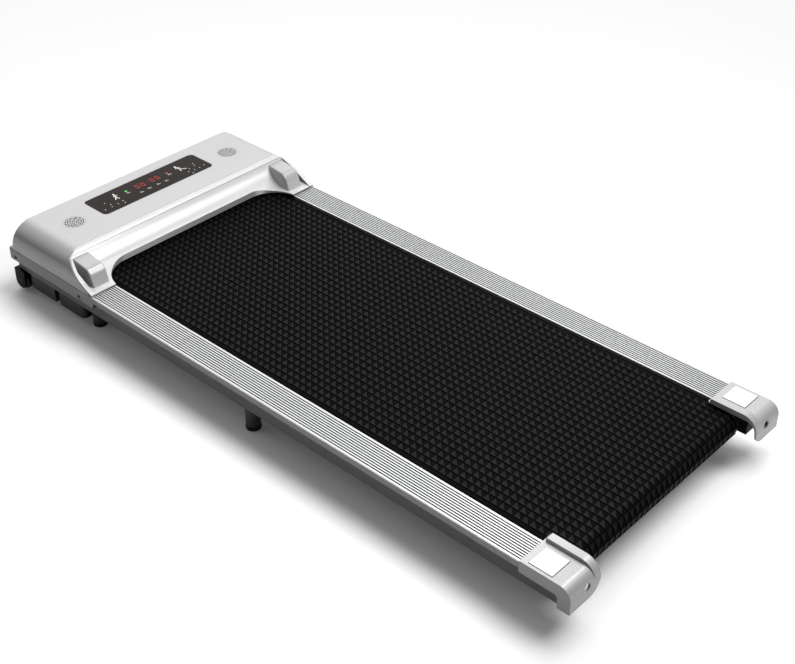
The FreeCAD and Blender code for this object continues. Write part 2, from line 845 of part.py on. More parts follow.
# Left end cap: a shell open towards the belt, with a raised ridge along its inner edge
def end_cap():
    skirt_bottom = rail_top - cap_skirt
    hook_x = tail_x + cap_hook_depth
    shell = side_prism([
        (cap_front_x, skirt_bottom), (cap_front_x, cap_top), (tail_x, cap_top, cap_tail_radius),
        (tail_x, cap_hook_bottom), (hook_x, cap_hook_bottom),
        (hook_x, skirt_bottom, cap_notch_radius),
    ], cap_inner_y, cap_outer_y)
    ceiling = cap_top - cap_wall
    low = cap_hook_bottom - overrun
    hollow = side_prism([
        (tail_x + cap_wall, low), (tail_x + cap_wall, ceiling, cap_tail_radius - cap_wall),
        (cap_front_x + overrun, ceiling), (cap_front_x + overrun, low),
    ], cap_inner_y - overrun, cap_outer_y - cap_side_wall)
    ridge_x = cap_front_x - ridge_front_inset
    ridge_top = cap_top + ridge_rise
    ridge = side_prism([
        (ridge_x, ceiling), (ridge_x, ridge_top, ridge_front_round),
        (tail_x, ridge_top, cap_tail_radius + ridge_rise),
        (tail_x, cap_top - cap_tail_radius),
    ], cap_inner_y, cap_inner_y + ridge_width)
    rib_x = cap_front_x - cap_rib_inset
    rib = block(rib_x - cap_rib_wall, rib_x, rail_inner_y, cap_outer_y - cap_side_wall,
                rail_top, ceiling)
    cap = shell.fuse(ridge).cut(hollow).fuse(rib).removeSplitter()
    corner_y = cap_inner_y + cap_corner_radius
    corner_z = cap_hook_bottom + cap_corner_radius
    corner = block(tail_x - overrun, tail_x + cap_wall + overrun,
                   cap_inner_y - overrun, corner_y, low, corner_z)
    corner = corner.cut(rod_x(corner_y, corner_z, cap_corner_radius,
                              tail_x - overrun, tail_x + cap_wall + overrun))
    key_hole = rod_x(bolt_y, bolt_z, cap_key_hole_radius,
                     tail_x - overrun, tail_x + cap_tail_radius / 2)
    return cap.cut(corner).cut(key_hole)


# Fascia ramp: a gentle foot, a hollow arc, a steep slope and a crown that meets the hood's top
def ramp_curve(depth):
    """Edges and ends of the ramp line, depth below the outer surface."""
    low = math.radians(ramp_start_angle)
    steep = math.radians(ramp_angle)
    foot = V(joint_x, 0, ramp_start_z)
    bend = foot + V(math.cos(low), 0, math.sin(low)) * ramp_flat
    hollow = bend + V(-math.sin(low), 0, math.cos(low)) * ramp_hollow_radius
    crown_z = hood_top - ramp_crown_radius
    slope_rise = crown_z + ramp_crown_radius * math.cos(steep)
    slope_rise -= hollow.z - ramp_hollow_radius * math.cos(steep)
    slope_run = slope_rise / math.tan(steep)
    crown_x = hollow.x + (ramp_hollow_radius + ramp_crown_radius) * math.sin(steep) + slope_run
    crown = V(crown_x, 0, crown_z)

    def on_hollow(angle):
        radius = ramp_hollow_radius + depth
        return hollow + V(radius * math.sin(angle), 0, -radius * math.cos(angle))

    def on_crown(angle):
        radius = ramp_crown_radius - depth
        return crown + V(-radius * math.sin(angle), 0, radius * math.cos(angle))

    first = foot + V(math.sin(low), 0, -math.cos(low)) * depth
    last = on_crown(0)
    edges = [
        Part.LineSegment(first, on_hollow(low)).toShape(),
        Part.Arc(on_hollow(low), on_hollow((low + steep) / 2), on_hollow(steep)).toShape(),
        Part.LineSegment(on_hollow(steep), on_crown(steep)).toShape(),
        Part.Arc(on_crown(steep), on_crown(steep / 2), last).toShape(),
    ]
    return edges, first, last


def closed_prism(edges, points, y0, y1):
    """Extrude edges closed by straight runs through points, from y0 to y1."""
    for before, after in zip(points, points[1:]):
        edges.append(Part.LineSegment(before, after).toShape())
    face = Part.Face(Part.Wire(Part.__sortEdges__(edges)))
    face.translate(V(0, y0, 0))
    return face.extrude(V(0, y1 - y0, 0))


def above_ramp(depth):
    edges, first, last = ramp_curve(depth)
    high = hood_top + overrun
    back = joint_x - overrun
    points = [last, V(last.x, 0, high), V(back, 0, high), V(back, 0, first.z), first]
    return closed_prism(edges, points, -rail_y, rail_y)


def below_ramp(depth):
    edges, first, last = ramp_curve(depth)
    points = [last, V(last.x, 0, channel_top), V(first.x, 0, channel_top), first]
    return closed_prism(edges, points, -rail_y, rail_y)


def above_cheek(depth):
    """Space over the hollow line of the fascia's raised side edges, sunk by depth."""
    foot = V(joint_x, 0, ramp_start_z)
    top = V(joint_x + cheek_top_offset, 0, rail_top + cheek_top_rise)
    middle = (foot + top) * 0.5 + V(cheek_sag, 0, -cheek_sag)
    circle = Part.Arc(foot, middle, top).toShape().Curve
    grow = (circle.Radius + depth) / circle.Radius
    first, middle, last = [circle.Center + (point - circle.Center) * grow for point in (foot, middle, top)]
    high = hood_top + overrun
    back = joint_x - overrun
    points = [last, V(last.x, 0, high), V(back, 0, high), V(back, 0, first.z), first]
    arc = Part.Arc(first, middle, last).toShape()
    return closed_prism([arc], points, -rail_y - overrun, rail_y + overrun)


def free_space(depth):
    """Space over the fascia: the ramp between the side edges, and over the edges."""
    y = hood_y - cheek_width + depth
    top_y = y - cheek_lean
    bend_z = rail_top + cheek_upright
    top_z = rail_top + cheek_top_rise
    high = hood_top + overrun
    section = [(y, channel_top), (y, bend_z), (top_y, top_z), (top_y, high),
               (-top_y, high), (-top_y, top_z), (-y, bend_z), (-y, channel_top)]
    valley = above_ramp(depth).common(end_prism(section, joint_x - overrun, front_x))
    return valley.fuse(above_cheek(depth))


def arch(inset, z0, x0, x1):
    y = hood_y - inset
    radius = hood_corner_radius - inset
    top = hood_top - inset
    return end_prism([(-y, z0), (-y, top, radius), (y, top, radius), (y, z0)], x0, x1)


def front_face_x(z):
    return hood_front_x - hood_front_lean * (z - rail_top) / hood_rise


def ahead_of_front(inset):
    """Space ahead of the leaning front face, inset behind it."""
    low = channel_top - overrun
    high = hood_top + overrun
    far = front_x + overrun
    return side_prism([(front_face_x(low) - inset, low), (far, low), (far, high),
                       (front_face_x(high) - inset, high)], -rail_y, rail_y)


def cutout(widening, z0, z1):
    """U-shaped opening over the belt, seen from above."""
    y = rail_inner_y + widening
    x0 = joint_x - cutout_depth
    x1 = joint_x + cutout_depth + widening
    radius = cutout_corner_radius + widening
    return flat_prism([(x0, -y), (x1, -y, radius), (x1, y, radius), (x0, y)], z0, z1)


# Cut-outs for the front face fittings, and the pocket that they sit in
def panel_cutouts():
    x0 = panel_x - hood_wall - overrun
    x1 = panel_x + overrun
    cuts = []
    for y, width, height in ((inlet_y, inlet_width, inlet_height),
                             (switch_y, switch_width, switch_height)):
        half_y = width / 2 + panel_gap
        half_z = height / 2 + panel_gap
        cuts.append(block(x0, x1, y - half_y, y + half_y, switchgear_z - half_z, switchgear_z + half_z))
    cuts.append(rod_x(breaker_y, switchgear_z, breaker_radius + panel_gap, x0, x1))
    return cuts


def panel_pocket(wall):
    y0 = inlet_y - inlet_width / 2 - inlet_flange_lap - panel_margin
    y1 = breaker_y + breaker_radius + breaker_flange_lap + panel_margin
    half_z = inlet_height / 2 + inlet_flange_lap + panel_margin
    return block(panel_x - wall, front_x, y0 - wall, y1 + wall,
                 switchgear_z - half_z - wall, switchgear_z + half_z + wall)


# Hood cover: arched shell with seats for the window and the speaker grilles
def hood_cover():
    tip_x = joint_x + cover_tip_setback
    outer = arch(0, rail_top, tip_x, front_x).cut(ahead_of_front(0))

    def front_edge(edge):
        ahead = [abs(point.X - front_face_x(point.Z)) < running_gap for point in edge.Vertexes]
        return all(ahead) and not lies_at(edge, "Z", rail_top)

    outer = rounded_edges(outer, hood_front_round, front_edge)
    inner = arch(hood_wall, rail_top - overrun, tip_x - overrun, front_x).cut(ahead_of_front(hood_wall))
    boss = panel_pocket(hood_wall).common(outer)
    cover = outer.cut(inner).cut(free_space(fascia_wall)).fuse(boss).cut(panel_pocket(0))
    seam_x = ramp_curve(0)[2].x
    cover = cover.cut(block(seam_x, seam_x + seam_gap, -hood_y, hood_y,
                            hood_top - seam_depth, hood_top + overrun))
    half_length = window_length / 2 + window_gap
    half_width = window_y + window_gap
    seat = rectangle(window_x - half_length, window_x + half_length,
                     -half_width, half_width, window_round + window_gap)
    cover = cover.cut(flat_prism(seat, window_top - window_thickness, hood_top + overrun))
    half_length = window_length / 2 - window_seat
    half_width = window_y - window_seat
    opening = rectangle(window_x - half_length, window_x + half_length,
                        -half_width, half_width, window_round - window_seat)
    cover = cover.cut(flat_prism(opening, hood_ceiling - overrun, hood_top + overrun))
    for y in (speaker_y, -speaker_y):
        cover = cover.cut(rod_z(speaker_x, y, grille_radius + grille_gap,
                                hood_top - grille_thickness, hood_top + overrun))
        cover = cover.cut(rod_z(speaker_x, y, speaker_radius,
                                hood_ceiling - overrun, hood_top + overrun))
    for cut in panel_cutouts():
        cover = cover.cut(cut)
    posts = []
    for x, y in board_post_places():
        posts.append(rod_z(x, y, board_post_radius, hood_ceiling - board_drop, hood_ceiling))
    return cover.fuse(posts).removeSplitter()


def board_post_places():
    half_length = window_length / 2
    half_width = board_width / 2 - board_margin
    return [(window_x + i * half_length, j * half_width) for i in (1, -1) for j in (1, -1)]


# Hood fascia: ramp skin with raised side edges, the cut-out and its lip, end cheeks and resting ribs
def hood_fascia():
    trim = arch(0, channel_top, joint_x, hood_front_x)
    skin = trim.common(free_space(fascia_wall)).cut(free_space(0))
    skin = skin.cut(cutout(0, channel_top - overrun, hood_top + overrun))
    wall = cutout(lip_wall, rail_top + lip_rise, hood_top)
    wall = wall.cut(cutout(0, rail_top, hood_top + overrun)).common(below_ramp(0)).common(trim)
    cheek_x = joint_x + cover_tip_setback - free_gap
    cheeks = arch(0, rail_top + fascia_seat_gap, joint_x, cheek_x)
    cheeks = cheeks.cut(arch(fascia_wall, rail_top, joint_x - overrun, cheek_x + overrun))
    cheeks = cheeks.cut(free_space(0))
    rib_x = joint_x + fascia_rib_inset
    rib = block(rib_x, rib_x + fascia_rib_width, channel_inner_y + fascia_rib_inset,
                channel_y - fascia_rib_inset, channel_top, hood_top)
    rib = rib.common(below_ramp(0))
    return skin.fuse([wall, cheeks, rib, mirrored(rib)]).removeSplitter()


# Left corner lug, a wedge with a rounded crest that sits on the ramp
def corner_lug():
    y0 = rail_inner_y + lug_inner_gap
    wedge = side_prism([
        (joint_x + lug_top_offset, rail_top), (joint_x + lug_top_offset, rail_top + lug_top_rise),
        (joint_x + lug_crest_offset, rail_top + lug_crest_rise, lug_crest_round),
        (joint_x + lug_foot_offset, rail_top + lug_foot_rise), (joint_x + lug_foot_offset, rail_top),
    ], y0, y0 + lug_width)
    high = rail_top + lug_foot_rise

    def upper_side_edge(edge):
        flat = lies_at(edge, "Y", y0) or lies_at(edge, "Y", y0 + lug_width)
        return flat and edge.BoundBox.ZMin > high - running_gap and edge.BoundBox.XLength > running_gap

    wedge = rounded_edges(wedge, lug_edge_round, upper_side_edge)
    return wedge.cut(below_ramp(0)).Solids[0]


# Display window, its board with digit blocks, the grilles and the speakers
def display_window():
    half_length = window_length / 2
    return flat_prism(rectangle(window_x - half_length, window_x + half_length,
                                -window_y, window_y, window_round),
                      window_top - window_thickness, window_top)


def display_board():
    top = hood_ceiling - board_drop
    half_length = window_length / 2 + board_margin
    half_width = board_width / 2
    board = block(window_x - half_length, window_x + half_length, -half_width, half_width,
                  top - board_thickness, top)
    digits = []
    for side in (1, -1):
        y = side * digit_spacing / 2
        digits.append(block(window_x - digit_length / 2, window_x + digit_length / 2,
                            y - digit_width / 2, y + digit_width / 2, top, top + digit_height))
    return board.fuse(digits)


def speaker_grille():
    disc = rod_z(speaker_x, speaker_y, grille_radius, hood_top - grille_thickness, hood_top)
    low = hood_top - grille_thickness - overrun
    high = hood_top + overrun
    disc = disc.cut(rod_z(speaker_x, speaker_y, grille_slot / 2, low, high))
    for ring in range(1, grille_rings + 1):
        inner = ring * grille_ring_pitch - grille_slot / 2
        outer = inner + grille_slot
        slot = rod_z(speaker_x, speaker_y, outer, low, high)
        slot = slot.cut(rod_z(speaker_x, speaker_y, inner, low, high))
        count = ring * grille_ring_bridges
        for index in range(count):
            bar = block(speaker_x + inner - grille_bridge, speaker_x + outer + grille_bridge,
                        speaker_y - grille_bridge / 2, speaker_y + grille_bridge / 2, low, high)
            bar.rotate(V(speaker_x, speaker_y, 0), V(0, 0, 1), 360 * (index + ring / 2) / count)
            slot = slot.cut(bar)
        disc = disc.cut(slot)
    return disc


def speaker():
    flange_z = hood_ceiling - speaker_flange
    cone_z = flange_z - speaker_cone
    flange = rod_z(speaker_x, speaker_y, speaker_flange_radius, flange_z, hood_ceiling)
    cone = Part.makeCone(magnet_radius, speaker_radius, speaker_cone, V(speaker_x, speaker_y, cone_z))
    magnet = rod_z(speaker_x, speaker_y, magnet_radius, cone_z - magnet_height, cone_z)
    return flange.fuse([cone, magnet]).removeSplitter()


# Hood rim: left side strip, front strip and the screws that hold the side strips
def rim_side():
    bottom = rail_top - rim_height
    strip = block(joint_x, front_x, rim_y, rail_y, bottom, rail_top)
    strip = rounded_edges(strip, rim_corner_round,
                          lambda edge: lies_at(edge, "Y", rail_y) and lies_at(edge, "X", front_x))

    def outer_top_edge(edge):
        inside = lies_at(edge, "Y", rim_y) or lies_at(edge, "X", joint_x)
        return lies_at(edge, "Z", rail_top) and not inside

    strip = rounded_edges(strip, rim_edge_round, outer_top_edge)
    for x in rim_screw_places():
        z = rail_top - rim_screw_drop
        strip = strip.cut(rod_y(x, z, rim_screw_radius + screw_gap, rim_y - overrun, rail_y + overrun))
        strip = strip.cut(rod_y(x, z, rim_screw_head_radius + screw_gap,
                                rail_y - rim_screw_sink, rail_y + overrun))
    return strip


def rim_front():
    shelf_x = hood_front_x - rim_shelf_overlap
    section = [
        (shelf_x, channel_top), (front_x - rim_front_wall, channel_top),
        (front_x - rim_front_wall, rail_top - rim_height), (front_x, rail_top - rim_height),
        (front_x, rail_top, rim_edge_round), (shelf_x, rail_top),
    ]
    return side_prism(section, -rim_y, rim_y)


def rim_screws():
    screws = []
    seat_y = rail_y - rim_screw_sink
    for x in rim_screw_places():
        z = rail_top - rim_screw_drop
        head = rod_y(x, z, rim_screw_head_radius, seat_y, seat_y + rim_screw_head)
        shank = rod_y(x, z, rim_screw_radius, channel_web_y - channel_wall, seat_y)
        screw = head.fuse(shank)
        screws += [screw, mirrored(screw)]
    return screws


# Motor tray: a pan under the head with a raised front panel, a low tail wall and vents
def motor_tray():
    y = channel_y - tray_side_inset
    tail = joint_x + tray_tail_offset
    front = joint_x + tray_front_offset
    nose_y = fork_inner_y - tray_nose_gap
    nose_x = front_x - tray_nose_inset

    step_tail = joint_x + tray_step_offset
    step_front = step_tail + tray_step_length

    def side_wall(inset):
        wall_y = y - inset
        step_y = wall_y - tray_step_depth
        return [
            (tail + inset, wall_y, tray_corner_radius), (step_tail - inset, wall_y),
            (step_tail - inset, step_y), (step_front + inset, step_y),
            (step_front + inset, wall_y), (front - inset, wall_y, tray_corner_radius),
            (front - inset, nose_y - inset), (nose_x - inset, nose_y - inset),
        ]

    def plan(inset):
        left = side_wall(inset)
        right = [(corner[0], -corner[1]) + tuple(corner[2:]) for corner in reversed(left)]
        return left + right

    pan = flat_prism(plan(0), tray_bottom, channel_bottom)
    pan = rounded_edges(pan, tray_bottom_round, lambda edge: lies_at(edge, "Z", tray_bottom))
    pan = pan.cut(flat_prism(plan(tray_wall), tray_bottom + tray_wall, channel_bottom + overrun))
    panel = block(nose_x - tray_wall, nose_x, -nose_y, nose_y, channel_bottom, tray_panel_top)
    pan = pan.fuse(panel).removeSplitter()
    notch_y = roller_y + tray_belt_gap
    notch = block(tail - overrun, tail + tray_wall + overrun, -notch_y, notch_y,
                  belt_low - tray_belt_gap, channel_bottom + overrun)
    pan = pan.cut(notch)
    for side in (1, -1):
        for index in range(vent_count):
            x0 = tail + vent_inset + index * vent_pitch
            y0, y1 = sorted((side * vent_inset, side * (vent_inset + vent_length)))
            slot = flat_prism(rectangle(x0, x0 + vent_width, y0, y1),
                              tray_bottom - overrun, tray_bottom + tray_wall + overrun)
            pan = pan.cut(slot)
    return pan


# Motor base plate and the cradle that the motor lies in
def motor_base_plate():
    plate = block(plate_tail_x, plate_front_x, -channel_web_y, channel_web_y, channel_floor, plate_top)
    notch = block(plate_tail_x - overrun, motor_x, pulley_y - plate_notch_gap,
                  pulley_y + pulley_width + plate_notch_gap, channel_floor - overrun, plate_top + overrun)
    return plate.cut(notch)


def motor_cradle():
    middle_y = (can_front_y + can_back_y) / 2
    seat = block(motor_x - cradle_length / 2, motor_x + cradle_length / 2,
                 middle_y - cradle_width / 2, middle_y + cradle_width / 2,
                 plate_top, plate_top + cradle_height)
    return seat.cut(rod_y(motor_x, motor_z, motor_radius, can_back_y, can_front_y))


# Drive motor: can, end bells, rotor with shaft, fan and pulley
def motor_can():
    can = rod_y(motor_x, motor_z, motor_radius, can_back_y, can_front_y)
    return can.cut(rod_y(motor_x, motor_z, motor_radius - motor_can_wall,
                         can_back_y - overrun, can_front_y + overrun))


def motor_end_bells():
    bells = []
    for y0 in (can_front_y, can_back_y - motor_bell_length):
        bell = rod_y(motor_x, motor_z, motor_radius, y0, y0 + motor_bell_length)
        bells.append(bell.cut(rod_y(motor_x, motor_z, shaft_radius + running_gap,
                                    y0 - overrun, y0 + motor_bell_length + overrun)))
    return bells


def motor_rotor():
    shaft = rod_y(motor_x, motor_z, shaft_radius, shaft_back_y, pulley_y + pulley_width)
    core = rod_y(motor_x, motor_z, motor_radius - motor_can_wall - motor_air_gap,
                 can_back_y + motor_core_inset, can_front_y - motor_core_inset)
    return shaft.fuse(core)


def motor_fan():
    y1 = shaft_back_y + fan_width
    fan = rod_y(motor_x, motor_z, fan_hub_radius, shaft_back_y, y1)
    blades = []
    for index in range(fan_blades):
        blade = block(motor_x, motor_x + fan_radius, shaft_back_y, y1,
                      motor_z - fan_blade_wall / 2, motor_z + fan_blade_wall / 2)
        blade.rotate(V(motor_x, 0, motor_z), V(0, 1, 0), 360 * index / fan_blades)
        blades.append(blade)
    fan = fan.fuse(blades).removeSplitter()
    return fan.cut(rod_y(motor_x, motor_z, shaft_radius, shaft_back_y - overrun, y1 + overrun))


# Ribbed pulley with two flanges, for the roller and for the motor
def ribbed_pulley(x, z, radius, bore):
    y1 = pulley_y + pulley_width
    rib_pitch = (pulley_width - 2 * pulley_flange) / pulley_ribs
    flange_radius = radius + pulley_flange_rise
    section = [(bore, pulley_y), (flange_radius, pulley_y), (flange_radius, pulley_y + pulley_flange)]
    for index in range(pulley_ribs):
        y0 = pulley_y + pulley_flange + index * rib_pitch
        section.append((radius, y0))
        section.append((radius - pulley_rib_depth, y0 + rib_pitch / 2))
    section += [(radius, y1 - pulley_flange), (flange_radius, y1 - pulley_flange),
                (flange_radius, y1), (bore, y1)]
    return turned_y(section, x, z)


def roller_pulley():
    """The roller's pulley has a collar that closes the gap to the roller's end."""
    bore = axle_radius + screw_gap
    pulley = ribbed_pulley(front_roller_x, roller_z, roller_pulley_radius, bore)
    collar = rod_y(front_roller_x, roller_z, roller_radius, roller_y, pulley_y)
    collar = collar.cut(rod_y(front_roller_x, roller_z, bore, roller_y - overrun, pulley_y + overrun))
    return pulley.fuse(collar).removeSplitter()


def drive_belt():
    y0 = pulley_y + pulley_flange + drive_belt_gap
    y1 = pulley_y + pulley_width - pulley_flange - drive_belt_gap
    loops = []
    for spread, run in ((drive_belt_spread, 0), (free_gap, overrun)):
        loops.append(belt_loop(front_roller_x, roller_z, roller_pulley_radius + spread,
                               motor_x, motor_z, motor_pulley_radius + spread, y0 - run, y1 + run))
    return loops[0].cut(loops[1])


# Controller: board on four posts with capacitors, and a finned heat sink on top
def controller_board():
    front = panel_x - controller_front_gap
    tail = front - controller_length
    y0 = controller_y
    y1 = controller_y + controller_width
    bottom = plate_top + controller_lift
    top = bottom + board_thickness
    board = block(tail, front, y0, y1, bottom, top)
    extras = []
    for x in (tail + post_inset, front - post_inset):
        for y in (y0 + post_inset, y1 - post_inset):
            extras.append(rod_z(x, y, post_radius, plate_top, bottom))
    for index in range(2):
        x = tail + capacitor_spacing / 2 + post_inset + index * capacitor_spacing
        y = y1 - post_inset - capacitor_spacing / 2
        extras.append(rod_z(x, y, capacitor_radius, top, top + capacitor_height))
    return board.fuse(extras).removeSplitter()


def heat_sink():
    front = panel_x - controller_front_gap - heat_sink_inset
    tail = front - heat_sink_length
    y0 = controller_y + heat_sink_inset
    bottom = plate_top + controller_lift + board_thickness
    base = block(tail, front, y0, y0 + heat_sink_width, bottom, bottom + heat_sink_base)
    fins = []
    pitch = (heat_sink_width - heat_sink_fin_wall) / (heat_sink_fins - 1)
    for index in range(heat_sink_fins):
        y = y0 + index * pitch
        fins.append(block(tail, front, y, y + heat_sink_fin_wall, bottom, bottom + heat_sink_height))
    return base.fuse(fins).removeSplitter()


# Mains inlet: a shrouded socket with three flat pins
def power_inlet():
    z = switchgear_z
    back = panel_x - inlet_depth
    face = panel_x + inlet_flange
    half_y = inlet_width / 2
    half_z = inlet_height / 2
    lap = inlet_flange_lap
    body = block(back, face, inlet_y - half_y, inlet_y + half_y, z - half_z, z + half_z)
    flange = end_prism(rectangle(inlet_y - half_y - lap, inlet_y + half_y + lap,
                                 z - half_z - lap, z + half_z + lap, lap), panel_x, face)
    in_y = half_y - inlet_wall
    in_z = half_z - inlet_wall
    well = end_prism([
        (inlet_y - in_y, z - in_z), (inlet_y + in_y, z - in_z),
        (inlet_y + in_y, z + in_z - inlet_corner), (inlet_y + in_y - inlet_corner, z + in_z),
        (inlet_y - in_y + inlet_corner, z + in_z), (inlet_y - in_y, z + in_z - inlet_corner),
    ], back + inlet_floor, face + overrun)
    inlet = body.fuse(flange).removeSplitter().cut(well)
    pins = []
    for index in (-1, 0, 1):
        y = inlet_y + index * pin_spacing
        pin_z = z + (pin_offset if index == 0 else -pin_offset)
        pins.append(block(back + inlet_floor, back + inlet_floor + pin_length,
                          y - pin_thickness / 2, y + pin_thickness / 2,
                          pin_z - pin_height / 2, pin_z + pin_height / 2))
    return inlet.fuse(pins).removeSplitter()


# Power switch body with a well, and the rocker that tips in it
def power_switch_body():
    z = switchgear_z
    face = panel_x + switch_bezel
    half_y = switch_width / 2
    half_z = switch_height / 2
    lap = switch_bezel_lap
    body = block(panel_x - switch_depth, face, switch_y - half_y, switch_y + half_y,
                 z - half_z, z + half_z)
    bezel = block(panel_x, face, switch_y - half_y - lap, switch_y + half_y + lap,
                  z - half_z - lap, z + half_z + lap)
    well_half_y = half_y - switch_wall
    well_half_z = rocker_reach + rocker_end_gap
    depth = rocker_base_depth + rocker_reach * math.sin(math.radians(rocker_tilt)) + rocker_end_gap
    well = block(panel_x - depth, face + overrun, switch_y - well_half_y, switch_y + well_half_y,
                 z - well_half_z, z + well_half_z)
    pivot = rod_y(panel_x, z, pin_thickness / 2, switch_y - half_y, switch_y + half_y)
    return body.fuse(bezel).removeSplitter().cut(well).fuse(pivot).removeSplitter()


def power_rocker():
    x = panel_x
    z = switchgear_z
    half = switch_width / 2 - switch_wall - rocker_side_gap
    rocker = side_prism([
        (x + rocker_end_rise, z + rocker_reach), (x + rocker_valley_rise, z),
        (x + rocker_end_rise, z - rocker_reach), (x - rocker_shoulder, z - rocker_reach),
        (x - rocker_base_depth, z - rocker_base_reach), (x - rocker_base_depth, z + rocker_base_reach),
        (x - rocker_shoulder, z + rocker_reach),
    ], switch_y - half, switch_y + half)
    rocker = rocker.cut(rod_y(x, z, pin_thickness / 2 + running_gap, switch_y - half - overrun,
                              switch_y + half + overrun))
    rocker.rotate(V(x, switch_y, z), V(0, 1, 0), rocker_tilt)
    return rocker


# Reset breaker body and its push button
def breaker_body():
    z = switchgear_z
    face = panel_x + breaker_flange
    barrel = rod_x(breaker_y, z, breaker_radius, panel_x - breaker_depth, face)
    collar = rod_x(breaker_y, z, breaker_radius + breaker_flange_lap, panel_x, face)
    bore = rod_x(breaker_y, z, button_radius + button_gap,
                 face - button_depth - button_travel - free_gap, face + overrun)
    return barrel.fuse(collar).removeSplitter().cut(bore)


def reset_button():
    face = panel_x + breaker_flange
    tip = face + button_rise
    button = rod_x(breaker_y, switchgear_z, button_radius, face - button_depth, tip)
    return rounded_edges(button, button_round, lambda edge: lies_at(edge, "X", tip))


def keep(name, shape):
    if isinstance(shape, list):
        shape = Part.makeCompound(shape)
    shape.exportStep("parts/" + name + ".step")


def keep_pair(name, shape):
    keep(name + "_left", shape)
    keep(name + "_right", mirrored(shape))


os.makedirs("parts", exist_ok=True)

keep_pair("side_channel", side_channel())
for place, share in cross_member_shares.items():
    keep("cross_member_" + place, cross_member(share))
keep("deck_board", deck_board())
keep("deck_cushions", deck_cushions())
keep("deck_screws", deck_screws())
keep("running_belt", running_belt())

keep("front_axle", rod_y(front_roller_x, roller_z, axle_radius, -axle_y, axle_y))
keep("front_roller_tube", roller_tube(front_roller_x))
keep("front_roller_bearings", roller_bearings(front_roller_x))
keep("front_roller_pulley", roller_pulley())
bracket = front_axle_bracket()
keep("front_axle_brackets", [bracket, mirrored(bracket)])
keep("rear_axle", rear_axle())
keep("rear_roller_tube", roller_tube(rear_roller_x))
keep("rear_roller_bearings", roller_bearings(rear_roller_x))
keep_pair("rear_axle_bracket", rear_axle_bracket())
keep_pair("tension_bolt", tension_bolt())

keep("foot_posts", foot_posts())
keep("foot_pads", foot_pads())
keep_pair("transport_wheel", transport_wheel())
fork = wheel_fork()
keep("wheel_forks", [fork, mirrored(fork)])
keep("wheel_axles", wheel_axles())

keep_pair("side_rail", side_rail())
keep_pair("end_cap", end_cap())

keep("hood_cover", hood_cover())
keep("hood_fascia", hood_fascia())
keep_pair("corner_lug", corner_lug())
keep_pair("rim_side", rim_side())
keep("rim_front", rim_front())
keep("rim_screws", rim_screws())
keep("display_window", display_window())
keep("display_board", display_board())
grille = speaker_grille()
keep("speaker_grilles", [grille, mirrored(grille)])
driver = speaker()
keep("speakers", [driver, mirrored(driver)])
keep("motor_tray", motor_tray())

keep("motor_base_plate", motor_base_plate())
keep("motor_cradle", motor_cradle())
keep("motor_can", motor_can())
keep("motor_end_bells", motor_end_bells())
keep("motor_rotor", motor_rotor())
keep("motor_fan", motor_fan())
keep("motor_pulley", ribbed_pulley(motor_x, motor_z, motor_pulley_radius, shaft_radius))
keep("drive_belt", drive_belt())
keep("controller_board", controller_board())
keep("heat_sink", heat_sink())

keep("power_inlet", power_inlet())
keep("power_switch_body", power_switch_body())
keep("power_rocker", power_rocker())
keep("breaker_body", breaker_body())
keep("reset_button", reset_button())
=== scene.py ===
import math

import bpy
from mathutils import Matrix, Vector


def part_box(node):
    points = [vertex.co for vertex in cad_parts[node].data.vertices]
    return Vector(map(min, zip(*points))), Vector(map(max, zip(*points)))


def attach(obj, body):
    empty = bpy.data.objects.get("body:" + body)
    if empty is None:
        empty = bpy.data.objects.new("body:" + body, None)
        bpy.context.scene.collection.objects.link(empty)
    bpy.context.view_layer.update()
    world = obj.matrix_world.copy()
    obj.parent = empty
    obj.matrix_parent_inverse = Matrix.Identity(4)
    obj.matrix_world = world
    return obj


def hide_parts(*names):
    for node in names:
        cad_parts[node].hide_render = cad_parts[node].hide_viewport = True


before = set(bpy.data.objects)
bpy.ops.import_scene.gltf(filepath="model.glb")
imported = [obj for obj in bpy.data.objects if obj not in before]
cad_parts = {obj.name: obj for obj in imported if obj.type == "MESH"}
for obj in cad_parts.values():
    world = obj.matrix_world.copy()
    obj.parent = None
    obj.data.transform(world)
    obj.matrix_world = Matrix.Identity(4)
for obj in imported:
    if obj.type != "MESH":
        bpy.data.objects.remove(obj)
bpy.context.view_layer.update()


# Steel frame: side channels, cross members, axle brackets, motor base plate and wheel forks.
# Folded and welded sheet steel under a powder coat, which lies in a fine orange peel.
def linear(code):
    """sRGB hex colour to linear red, green, blue, alpha."""
    parts = [int(code[place:place + 2], 16) / 255 for place in (1, 3, 5)]
    return tuple(p / 12.92 if p <= 0.04045 else ((p + 0.055) / 1.055) ** 2.4 for p in parts) + (1.0,)


def add_node(material, kind, settings=None, links=None):
    """Add a shader node: settings are its properties or input values, links feed its inputs."""
    made = material.node_tree.nodes.new(kind)
    for name, value in (settings or {}).items():
        if name in made.bl_rna.properties:
            setattr(made, name, value)
        else:
            made.inputs[name].default_value = value
    for name, source in (links or {}).items():
        material.node_tree.links.new(source, made.inputs[name])
    return made


def new_finish(name, **sockets):
    """A material whose shader has these constants on its own sockets."""
    material = bpy.data.materials.new(name)
    material.use_nodes = True
    shader = material.node_tree.nodes["Principled BSDF"]
    for socket, value in sockets.items():
        shader.inputs[socket.replace("_", " ")].default_value = value
    return material, shader


